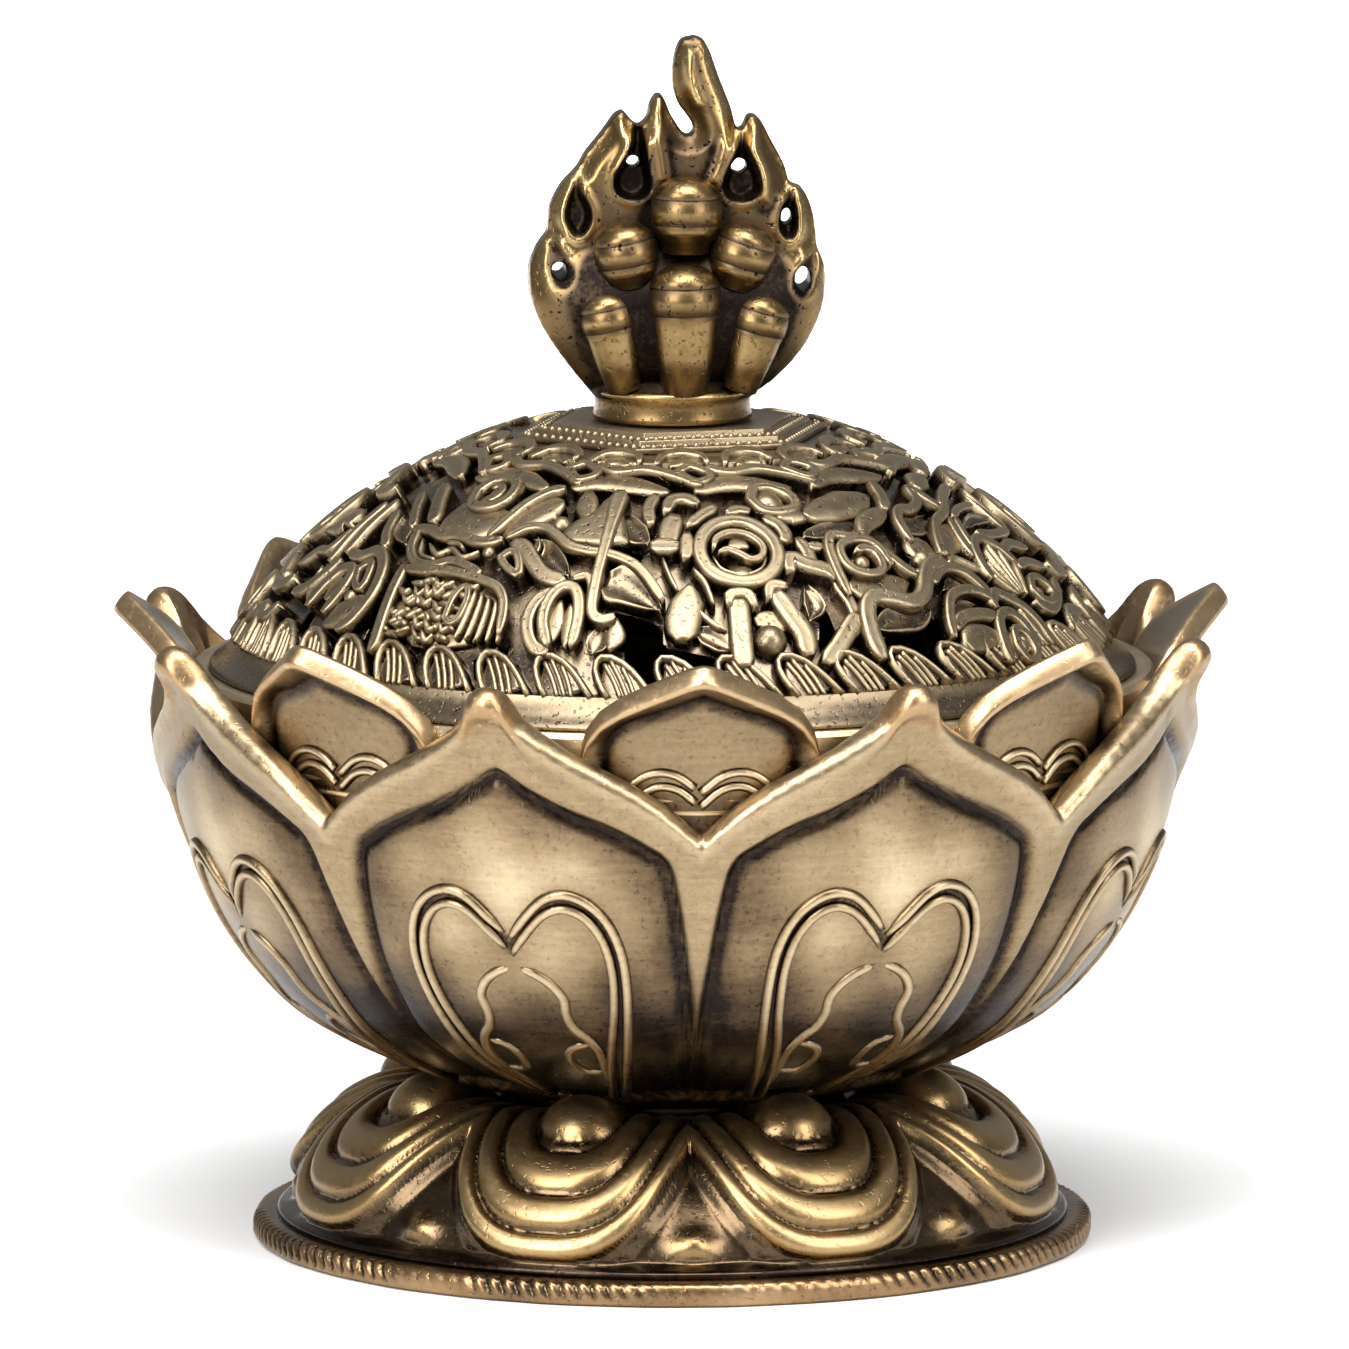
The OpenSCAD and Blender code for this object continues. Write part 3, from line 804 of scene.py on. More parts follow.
def foot():
    """The cast foot: eight petals of nested rounded lobes around a smooth heart, hollow underneath."""
    outer, inner = 104, 12
    rows = outer + inner
    piece, across, up = grid("foot_casting", PETALS * PETAL_COLUMNS, rows)
    azimuth = across * 360
    from_middle = (azimuth % STEP) - HALF_STEP
    row = np.rint(up * rows)
    falling = np.clip((row - outer) / inner, 0, 1)
    along = np.where(row <= outer, row / outer, 1 - falling * 0.86) * FOOT_CREST.length
    level, down = foot_level(from_middle, along)
    relief = np.full(len(level), -FOOT_FOLD)
    worn = np.full(len(level), 0.2)
    for low, high, top in zip(LOBE_EDGES, LOBE_EDGES[1:], (0.15, 0.1, 0.0, -0.2)):
        t = np.clip((level - low) / (high - low), 0, 1)
        roll = (1 - np.abs(2 * (0.5 + 0.5 * t if low == 0 else t ** 0.9) - 1) ** 2.6) ** 0.62
        hit = (level >= low) & (level < high)
        relief = np.where(hit, top - 1.0 * (1 - roll), relief)
        worn = np.where(hit, 0.1 + 0.54 * roll ** 1.4, worn)
    x = FOOT_CREST.at(along)[0] * np.radians(from_middle)
    egg = np.hypot(x / (3.5 + 0.12 * np.clip(down, -7, 4)), np.where(down > 0, down / 4.3, down / 8.6))
    dome = np.clip(1 - egg ** 2, 0, 1)
    relief = np.where(egg < 1, np.maximum(relief - 0.35, -0.5 + 2.2 * dome ** 0.75), relief)
    # The boss is rubbed bright towards its top; part of that brightness is a painted highlight, lightening
    # the boss where it sits in shade under the bowl.
    worn = np.where(egg < 1, 0.14 + 0.68 * dome ** 0.5, worn)
    at_edge = smooth_step(level, 1.0, 1.14)
    relief = np.where(level >= 1, -1.2 - (FOOT_FOLD - 1.2) * at_edge, relief)
    cloud = np.exp(-(((np.abs(from_middle) - HALF_STEP) * 0.55 / 1.7) ** 2)
                   - ((FOOT_CREST.length - along - 3.1) / 1.5) ** 2)
    relief += np.where(level >= 1, 0.75 * cloud, 0)
    worn = np.where(level >= 1, 0.15 + 0.3 * cloud, worn)
    to_neck = smooth_step(along, 3.5, 9)
    relief = relief * to_neck
    # Painted shade: the foot is darkened towards the neck, where it lies in shade under the bowl.
    worn = worn * (0.35 + 0.65 * to_neck)
    tuck = smooth_step(along, FOOT_CREST.length - 1.6, FOOT_CREST.length)
    relief = relief * (1 - tuck) - 0.35 * tuck
    worn = worn * (1 - 0.85 * tuck)
    out = np.where(row > outer, -1.9 - 1.2 * np.sin(np.pi * falling) ** 0.5, relief)
    radius, height = FOOT_CREST.moved(along, out)
    height = np.maximum(height, np.where(row >= outer, RING_TOP, 0))
    height = np.where(row == outer, RING_TOP, height)
    radius = np.where(row == rows, 10, radius)
    height = np.where((row == rows) | (row == 0), FOOT_TOP, height)
    write_points(piece, ring_place(azimuth, radius, height))
    mark_wear_and_painted_light(piece, np.where(row > outer, 0.12, worn))
    tidy(piece)
    return piece


def base_ring():
    """The flat ring: a coin edge on its upper corner, knocked about and rubbed smooth in places."""
    section = [(26, 0), (31, 0), (32.6, 0), (RING_RADIUS - 0.18, 0.12), (RING_RADIUS, 0.4),
               (RING_RADIUS, 0.8), (RING_RADIUS, 1.2), (RING_RADIUS - 0.1, 1.55), (RING_RADIUS - 0.3, 1.8),
               (RING_RADIUS - 0.6, RING_TOP), (RING_RADIUS - 1.1, RING_TOP), (31, RING_TOP), (26, RING_TOP),
               (26, 0)]
    notches = 168
    piece = turned("base_ring_milled", section, notches * 6)
    points = read_points(piece)
    azimuth = azimuth_of(points)
    reach = reach_of(points)
    chaos = random.Random(4)
    worn_spots = [(chaos.uniform(-180, 180), chaos.uniform(4, 14)) for _ in range(9)] + [(10, 26), (-38, 9)]
    smoothed = np.zeros(len(points))
    for spot, spread in worn_spots:
        apart = np.abs((azimuth - spot + 180) % 360 - 180)
        smoothed = np.maximum(smoothed, smooth_step(apart, spread, spread * 0.5))
    slant = azimuth + points[:, 2] * 0.9
    tooth = np.abs(np.sin(np.radians(slant * notches / 2)))
    cut = (1 - tooth ** 0.7) * smooth_step(reach, RING_RADIUS - 1.2, RING_RADIUS - 0.3)
    cut *= smooth_step(points[:, 2], 0.3, 1.0) * (1 - 0.85 * smoothed)
    wobble = 0.06 * np.sin(np.radians(azimuth * 23)) * np.sin(np.radians(azimuth * 7 + 40))
    scale = (reach - 0.34 * cut + np.where(reach > 32, wobble - 0.06, 0)) / reach
    points[:, :2] *= scale[:, None]
    points[:, 2] -= np.where(points[:, 2] > 1, 0.2 * cut, 0)
    write_points(piece, points)
    worn = 0.44 - 0.5 * cut + np.where(reach > RING_RADIUS - 1.5, 0.06, -0.3)
    worn += 0.12 * np.sin(np.radians(azimuth * 11)) * np.sin(np.radians(azimuth * 5 + 60))
    mark_wear_and_painted_light(piece, worn)
    return piece


def neck():
    """The dark spacer: a waisted drum with a fine groove below the middle of each petal."""
    low, high = FOOT_TOP, BOWL_BASE
    line = [(BOLT_HOLE, low), (13.2, low), (NECK_RADIUS, low + 0.25), (NECK_RADIUS - 0.1, low + 0.8),
            (NECK_RADIUS - 0.15, high - 0.7), (NECK_RADIUS, high - 0.2), (13.3, high), (BOLT_HOLE, high),
            (BOLT_HOLE, low)]
    piece = turned("neck_spacer", line, 240)
    points = read_points(piece)
    azimuth = azimuth_of(points)
    apart = np.abs(azimuth % STEP - HALF_STEP)
    reach = reach_of(points)
    groove = np.exp(-(apart / 1.4) ** 2) * (reach > 13)
    points[:, :2] *= (1 - 0.02 * groove)[:, None]
    write_points(piece, points)
    mark_wear_and_painted_light(piece, 0.16 - 0.1 * groove)
    return piece
# ---------------------------------------------------------------- the lid's dome
DOME_FOOT = 47.6
SPHERE_RADIUS = 41.73
SPHERE_HEIGHT = 24.27
FOOT_LATITUDE = math.asin((DOME_FOOT - SPHERE_HEIGHT) / SPHERE_RADIUS)
GROUND = -0.95
TOP_LIFT = 0.35
TONGUES = 44


def on_dome(azimuth, arc, lift=0.0):
    """A point on the dome, arc millimetres up from its foot and lift millimetres proud of it."""
    latitude = FOOT_LATITUDE + np.asarray(arc) / SPHERE_RADIUS
    reach = SPHERE_RADIUS + lift
    return ring_place(azimuth, reach * np.cos(latitude), SPHERE_HEIGHT + reach * np.sin(latitude))


def dome_scale(arc):
    """Degrees of azimuth in a millimetre across, at an arc up the dome."""
    return 180 / math.pi / (SPHERE_RADIUS * np.cos(FOOT_LATITUDE + np.asarray(arc) / SPHERE_RADIUS))


# Openings between the ornament, as (azimuth, arc) outlines on the front half of the dome
VENTS = [ [(-13.8, 8.6), (-9, 8.2), (-5, 7.2), (-4.2, 5.2), (-1, 4.8), (3.9, 3.9), (2, 2.2), (-6, 1.8),
           (-9.5, 3.2), (-10.4, 6), (-12, 7.2)], [(-12.4, 13.1), (-11.6, 14.8), (-8.6, 14.6), (-9.8, 13)],
         [(18, 3.6), (18.6, 6), (20.6, 8.3), (21.5, 7), (21.2, 5.2), (19.6, 3.4)], [(-9.8, 17.8),
                                                                                    (-8, 17.4),
                                                                                    (-7.5, 20.4),
                                                                                    (-9.5, 20.6)],
         [(11, 2.2), (13, 2.4), (12.8, 3.8), (10.8, 3.6)], [(27.8, 5), (30, 5.4), (34, 5.6), (37.2, 6.6),
                                                            (39.6, 7.4), (38.8, 5.2), (38, 3.2), (35, 1.8),
                                                            (31, 1.8), (28, 3)], [(35.4, 14), (39.6, 14.4),
                                                                                  (40.4, 12.6), (40.8, 11),
                                                                                  (38.8, 10.3), (37, 10.8)],
         [(58.4, 5.6), (61, 5.2), (64, 4.1), (67.6, 3.2), (68, 1.6), (62, 1.3), (59.3, 1.6), (58.2, 3.4)],
         [(46, 13.6), (49.9, 13.8), (48.2, 12.2), (46.3, 12)], [(44.3, 17), (47, 18.4), (49.2, 18.6),
                                                                (47, 16.9)], [(-52, 8.2), (-50.6, 7.8),
                                                                              (-48.8, 5.5), (-48, 3.8),
                                                                              (-49.4, 1.8), (-51.5, 1.8),
                                                                              (-52.8, 4.8)], [(-70.4, 5.2),
                                                                                              (-68, 5.6),
                                                                                              (-66.8, 4.4),
                                                                                              (-66.2, 2),
                                                                                              (-69.6, 1.8)],
         [(-32, 3.4), (-30, 4.3), (-27.2, 4.7), (-28.2, 2), (-30.6, 1.6)], [(-26, 20), (-24.6, 18),
                                                                            (-23.6, 18.2), (-24.4, 20.4)],
         [(80, 4.6), (84, 5.6), (85, 3.4), (81.4, 2)], [(93, 9.8), (97, 10.6), (97.4, 8), (94, 7.6)],
         [(99, 15), (102.6, 15.4), (102, 13), (99.4, 13)], [(75.6, 9.4), (78.4, 10), (78.6, 7.4), (76, 7)]]


def lid_casting():
    """The lid's band, register and dome, as one lathe form with the openings cut through it."""
    def dome_line(lift, arcs):
        spots = [on_dome(0, arc, lift) for arc in arcs]
        return [(-spot[1], spot[2]) for spot in spots]
    bore = 1.7
    under_crown = CROWN_HEIGHT - 1.6
    ground_arcs = (24.8, 23.2, 21.4, 19.5, 17.5, 15.5, 13.5, 11.5, 9.5, 7.5, 5.5, 3.5, 1.6, 0.9)
    inside_arcs = (1.4, 4, 7, 10, 13, 16, 19)
    line = [(bore, CROWN_HEIGHT), (9, CROWN_HEIGHT), (12.9, CROWN_HEIGHT - 0.04), *dome_line(0, (26.2, 25.6)),
            *dome_line(-0.5, (25.2,)), *dome_line(GROUND, ground_arcs), *dome_line(-0.45, (0.5,)),
            *dome_line(0.05, (0.12,)), (34.75, 47.3), (35.2, 46.75), (35.8, 46.1), (36.25, 45.85),
            (36.45, 45.6), (36.4, 45.4), (33.3, 45.4), (33.3, 43.2), (33.1, 43), (31.7, 43), (31.5, 43.2),
            (31.5, 46.4), *dome_line(-3.1, inside_arcs), *dome_line(-2.6, (21.2,)), *dome_line(-2.0, (23,)),
            (12.2, under_crown), (bore, under_crown), (bore, CROWN_HEIGHT)]
    piece = turned("lid_casting", line, 320, sharp=True)
    cutters = []
    for vent in VENTS:
        for half_turn in (0, 180):
            outline = np.asarray(vent, float)
            closed = curve_through(np.vstack([outline, outline[:1]]), 40)[:-1]
            cutters.append(vent_cutter(closed[:, 0] + half_turn, closed[:, 1]))
    cutter = join("vent_cutters", cutters)
    make_active(piece)
    apply_modifier(piece, "BOOLEAN", operation="DIFFERENCE", object=cutter)
    bpy.data.objects.remove(cutter)
    points = read_points(piece)
    reach = reach_of(points)
    rise = np.linalg.norm(points - [0, 0, SPHERE_HEIGHT], axis=1) - SPHERE_RADIUS
    worn = np.where(points[:, 2] < 48, 0.4, 0.33 + 0.27 * smooth_step(rise, -0.7, -0.1))
    worn = np.where((points[:, 2] < 45.35) | (rise < -2.3) & (points[:, 2] > 48.2), 0.1, worn)
    azimuth = np.arctan2(points[:, 1], points[:, 0])
    lumps = 0.22 * np.sin(azimuth * 31 + points[:, 2] * 0.9) * np.sin(points[:, 2] * 1.7 + azimuth * 9)
    ground = (points[:, 2] > 48.4) & (rise > GROUND - 0.2) & (rise < GROUND + 0.2)
    away = (points - [0, 0, SPHERE_HEIGHT]) / (SPHERE_RADIUS + rise)[:, None]
    write_points(piece, points + away * (lumps * ground)[:, None])
    mark_wear_and_painted_light(piece, np.where(np.abs(reach - 34.7) < 0.3, worn + 0.2, worn) + lumps * ground)
    return piece


def vent_cutter(azimuth, arc):
    """A solid that passes right through the dome's wall, with the given outline."""
    count = len(azimuth)
    rings = np.vstack([on_dome(azimuth, arc, -5.5), on_dome(azimuth, arc, 0.5)])
    faces = [[i, (i + 1) % count, count + (i + 1) % count, count + i] for i in range(count)]
    faces += [list(range(count - 1, -1, -1)), list(range(count, 2 * count))]
    mesh = bpy.data.meshes.new("cutter")
    mesh.from_pydata((rings * MM).tolist(), [], faces)
    cutter = bpy.data.objects.new("cutter", mesh)
    bpy.context.scene.collection.objects.link(cutter)
    make_active(cutter)
    bpy.ops.object.mode_set(mode="EDIT")
    bpy.ops.mesh.select_all(action="SELECT")
    bpy.ops.mesh.normals_make_consistent(inside=False)
    bpy.ops.object.mode_set(mode="OBJECT")
    return cutter


def wave_tongues():
    """The row of round-topped tongues above the band, each ribbed and leaning to the right."""
    made = Ribbons()
    ribs = [(-0.62, 3.25), (0.0, 3.55), (0.62, 3.0)]
    for k in range(TONGUES):
        middle = (k + 0.79) * 360 / TONGUES
        rim = [(-1.75, 0.1), (-1.85, 1.2), (-1.55, 2.6), (-0.8, 3.55), (0.1, 3.7), (0.95, 3.1), (1.45, 1.9),
               (1.8, 0.1)]
        plate = [(-0.3, 0.2), (-0.1, 1.4), (0, 2.6), (0, 3.4)]
        lines = [(rim, 0.4, 0.4, 0.9, Ribbons.ROUND), (plate, np.interp(range(12), (0, 7, 11),
                                                                        (1.75, 1.6, 0.7)),
                                                       -0.1, 0.4, Ribbons.SECTION)]
        for across, top in ribs:
            lines.append(([(across * 0.9 - 0.2, 0.15), (across * 0.95, top * 0.5), (across, top - 0.25)],
                          0.31, 0.3, 0.85, Ribbons.ROUND))
        for line, half_width, lift, wear, section in lines:
            line = curve_through(line, 12)
            lean = 0.9 - 0.55 * line[:, 1]
            azimuth = middle + (line[:, 0] + lean) * dome_scale(line[:, 1])
            foot_of = on_dome(azimuth, line[:, 1], GROUND)
            up = on_dome(azimuth, line[:, 1], GROUND + 1) - foot_of
            made.add(foot_of, up, half_width, lift - GROUND, 0.3, section, wear=wear)
    return made.build("lid_wave_tongues")
# ---------------------------------------------------------------- the lid's ornament
HOLLOW = mirrored([(-1.0, 0.0, 0.1), (-1.0, 0.8, 0.5), (-0.93, 0.97, 0.82), (-0.84, 1.0, 0.82),
                   (-0.72, 0.88, 0.57), (-0.4, 0.7, 0.39), (0.0, 0.64, 0.45)])
DOMED = mirrored([(-1.0, 0.0, 0.1), (-1.0, 0.55, 0.25), (-0.9, 0.82, 0.75), (-0.72, 0.92, 0.8),
                  (-0.4, 0.95, 0.67), (0.0, 0.97, 0.62)])

# Each stroke: its kind, half width in millimetres (or several, along it), how far it rises over the
# common height, and its points as (azimuth, arc).
WHEEL_AND_SPOKES = [
    ("strap", 0.75, 0.2, [(6.4, 2.6), (6.4, 5), (6.8, 8.8)]),
    ("strap", 0.42, 0.4, [(5.2, 8), (5.6, 9.1), (8.3, 9.1), (9, 7.8)]),
    ("strap", 0.72, 0.15, [(15.4, 3.4), (15.5, 5.4), (14, 7.6), (12.8, 9.4)]),
    ("strap", 0.42, 0.3, [(11.3, 8.6), (12.4, 10), (14.9, 9.8)]),
    ("strap", 0.7, 0.1, [(-7.2, 14.4), (-4.6, 14.5), (-2, 14.3)]),
    ("strap", 0.75, 0.0, [(-3.9, 14.6), (-3.6, 16.4), (-2.6, 18)]),
    ("strap", 0.5, 0.2, [(-1, 12.9), (-0.6, 14), (-0.5, 15.7)]),
    ("rim", 0.3, 0.1, [(-4.8, 13), (-3.6, 11.2), (-2.4, 9.8)]),
    ("rim", 0.34, 0.15, [(0.2, 11.9), (1.9, 10.6), (3, 8.4)]),
    ("strap", 0.45, 0.1, [(-0.2, 16.6), (2.8, 17.9), (6, 18.8)]),
    ("strap", 0.62, 0.1, [(16.2, 11.4), (17.4, 12.9), (19.4, 12.2), (22.8, 11.4), (23.6, 10.4)]),
    ("strap", 0.42, -0.2, [(23.4, 10.4), (24.6, 8.4), (24.4, 6.4), (22.6, 5)]),
    ("leaf", (0.3, 0.85, 0.4), -0.1, [(17.2, 6.8), (18.6, 8.2), (18.2, 10)]),
    ("strap", 0.5, 0.1, [(15, 17.4), (17.4, 16.6), (18, 15.2), (16.8, 14.6)]),
    ("strap", 0.5, -0.3, [(20.8, 11.8), (21.2, 13.8), (20.4, 15.2)]),
    ("strap", 0.4, -0.1, [(21.6, 14.1), (24.2, 13.9)]),
    ("domed", (0.9, 1.25, 1.2, 0.45), 0.2, [(-1.9, 5), (-1.6, 7), (-0.9, 8.8), (-0.4, 10.3)]),
    ("rim", 0.3, 0.15, [(0.4, 8), (2.4, 6.8), (4.4, 5.9)]),
    ("leaf", 0.85, -0.35, [(0.6, 6.2), (3, 5.4), (5, 4.6)]),
    ("strap", 0.45, 0.0, [(8, 18.2), (10.4, 18.6), (13, 18.3)]),
    ("strap", 0.7, -0.5, [(9, 7), (11.6, 7.2), (13, 6)])]
WING_AND_LOOPS = [
    ("strap", 0.36, 0.35, [(-34, 14.3), (-31, 15.6), (-27.6, 15.8), (-24.4, 15), (-21.6, 14), (-18, 13.5),
                           (-14.6, 13.3), (-11.6, 12.8), (-9, 12), (-6.8, 10.6), (-4.6, 8.6)]),
    ("leaf", (1.7, 1.75, 1.1, 0.35), -0.1, [(-13.9, 10.9), (-10.6, 10.3), (-7.2, 9), (-5, 8)]),
    ("strap", (0.7, 0.45, 0.4, 0.4, 0.4), 0.4, [(-14.6, 20.4), (-14.8, 17), (-15, 14), (-15.2, 10),
                                                (-14.9, 7.4), (-13.2, 6.7), (-11.4, 7)]),
    ("domed", (0.35, 0.75, 0.3), 0.1, [(-11.8, 4.2), (-11.2, 5.6), (-11.3, 7)]),
    ("leaf", (0.6, 0.9, 0.6), -0.4, [(-14.4, 4.2), (-13.6, 5.4), (-13.6, 6.4)]),
    ("domed", (2.7, 2.0, 1.0, 0.7), 0.1, [(-17.8, 14.6), (-17.4, 16.2), (-16.2, 18.4), (-15.4, 20.4)]),
    ("leaf", (0.6, 1.1, 0.5), -0.4, [(-13, 18.4), (-10.6, 16.4), (-7.8, 15.2)]),
    ("domed", (0.6, 0.8, 0.5), 0.0, [(-22.6, 20.8), (-21.4, 18.8), (-20, 17.6)]),
    ("strap", 0.48, 0.1, [(-20.3, 3.7), (-22.8, 4.4), (-24.4, 6.4), (-24, 8.4), (-22, 9.5)]),
    ("strap", 0.42, 0.4, [(-17, 4.2), (-16.8, 7), (-17.8, 9.2), (-19.8, 9.8), (-21.6, 8.8), (-22, 6.8),
                          (-21, 5), (-20.2, 4.2)]),
    ("domed", (0.3, 0.72, 0.3), 0.0, [(-20.3, 4.6), (-20.4, 6.6), (-20.2, 8.6)]),
    ("domed", (0.3, 0.5, 0.3), -0.1, [(-18.2, 4.4), (-18.3, 6.4), (-18.6, 8.4)]),
    ("strap", 0.34, 0.0, [(-19.4, 10.8), (-17.2, 11.2), (-15.9, 10.2), (-15.6, 8)]),
    ("strap", 0.6, 0.25, [(-32.4, 14), (-29.8, 13.6), (-27, 12.2), (-24.4, 11), (-21.6, 10.5),
                          (-20.4, 10.2)]),
    ("leaf", (0.3, 1.0, 0.9, 0.35), -0.35, [(-29.6, 14.8), (-26.6, 14), (-23.4, 12.6), (-20.6, 11.5)]),
    ("rim", 0.16, -0.1, [(-28.4, 15), (-27.4, 14.2), (-27.2, 13.4)]),
    ("rim", 0.16, -0.1, [(-27.2, 14.8), (-26.2, 13.9), (-26, 13)]),
    ("loop", 0.32, 0.35, [(-33, 12.3), (-31.4, 13.1), (-29.6, 12.3), (-28.4, 10.8), (-29.8, 11),
                          (-31.6, 11.6)]),
    ("strap", 0.5, 0.0, [(-4.6, 18.4), (-3.2, 20), (0, 20.2), (2.4, 19.4)]),
    ("strap", 0.45, -0.1, [(-7.4, 17), (-8.2, 19), (-6.8, 20.8)])]
PEONY_AND_CREST = [
    ("strap", 0.42, 0.3, [(-50.6, 10.4), (-49.8, 8.4), (-48.6, 6), (-47.4, 3.6), (-47.2, 2.4)]),
    ("strap", 0.36, 0.35, [(-50, 10.2), (-46, 10.2), (-42, 10.5), (-38, 10.3), (-34, 9.9), (-30.6, 9.2),
                           (-28.6, 7.6), (-27.8, 5)]),
    ("loop", 0.24, 0.4, [(-37.2, 6), (-37.4, 8), (-36.2, 9.1), (-35, 8), (-35, 6.2), (-36, 5.6)]),
    ("strap", 0.36, 0.25, [(-54.6, 14.2), (-52.4, 12.2), (-49, 11), (-45, 10.9), (-42, 11.5), (-38, 11.1),
                           (-35, 10.5)]),
    ("strap", 0.42, 0.3, [(-56, 14.2), (-52, 14.4), (-48, 14), (-44, 14.2), (-39, 13.8), (-34.6, 14.2)]),
    ("rim", 0.34, 0.15, [(-49.4, 13), (-46.4, 12.2), (-44, 12.9), (-41, 12.2), (-38, 12.8)]),
    ("rim", 0.28, 0.2, [(-46, 13.4), (-43.6, 13.5), (-41.6, 13)]),
    ("rim", 0.3, 0.1, [(-52, 13.4), (-50, 12), (-46, 11.6)]),
    ("domed", (2.2, 2.3, 1.9, 0.8), -0.1, [(-51.6, 16.9), (-46.6, 16.6), (-41, 16.6), (-37.4, 17.4)]),
    ("loop", 0.42, 0.35, [(-49.4, 19.3), (-47.6, 17.8), (-44.4, 17.5), (-41, 18), (-39.8, 19.3),
                          (-41.4, 20.8), (-45, 21.2), (-48, 20.7)]),
    ("strap", 0.3, 0.2, [(-46.6, 19.8), (-45, 20.3), (-43.2, 19.6), (-43.8, 18.6), (-45.4, 18.7)]),
    ("strap", 0.4, 0.35, [(-37.8, 14.4), (-36.2, 16.8), (-34.2, 18.8), (-31, 20.2), (-28, 20.6)]),
    ("domed", (0.35, 1.2, 1.35, 0.7), 0.05, [(-35.4, 14.8), (-32.8, 17), (-29.6, 18.6), (-26.8, 19.2)]),
    ("strap", 0.4, 0.2, [(-65.5, 18), (-61.4, 16.2), (-57, 14.4)]),
    ("domed", 0.62, 0.1, [(-63, 19.6), (-58, 17.4), (-53.8, 15.4)]),
    ("strap", 0.42, 0.2, [(-66, 15.6), (-62.6, 13.4), (-59, 12)]),
    ("leaf", (0.4, 0.9, 0.4), -0.1, [(-63.4, 15.6), (-60, 14.2), (-56.6, 13)]),
    ("strap", 0.46, 0.25, [(-66.4, 10.6), (-63, 10.6), (-60, 11.4), (-57, 10.8), (-54.6, 9.4), (-53.4, 7.4),
                           (-54, 5), (-56, 3.8)]),
    ("loop", 0.3, 0.3, [(-60.8, 9.4), (-59, 10.3), (-57.2, 9), (-56.6, 7.8), (-58.6, 8)]),
    ("strap", 0.42, 0.2, [(-66.8, 5.2), (-66.6, 7.4), (-65, 9.2), (-62.4, 9.2), (-61.2, 7.4), (-61.6, 5)]),
    ("domed", (0.5, 0.8, 0.6), 0.0, [(-63.8, 6.2), (-63.8, 7.6), (-63.6, 8.4)]),
    ("domed", (0.5, 1.2, 1.0, 0.4), 0.1, [(-59.6, 4), (-57.4, 5.6), (-55.4, 6.6), (-54, 7)]),
    ("strap", 0.45, 0.15, [(-70.8, 16.6), (-70.2, 13.6), (-68.6, 10.6)]),
    ("strap", 0.42, 0.1, [(-74, 16), (-73.4, 12.6), (-71.4, 9.4)]),
    ("leaf", (0.4, 1.1, 0.5), -0.1, [(-72.4, 9), (-69.6, 7.4), (-67.6, 5.6)]),
    ("strap", 0.5, 0.0, [(-75.4, 6), (-72, 7), (-69, 10)])]
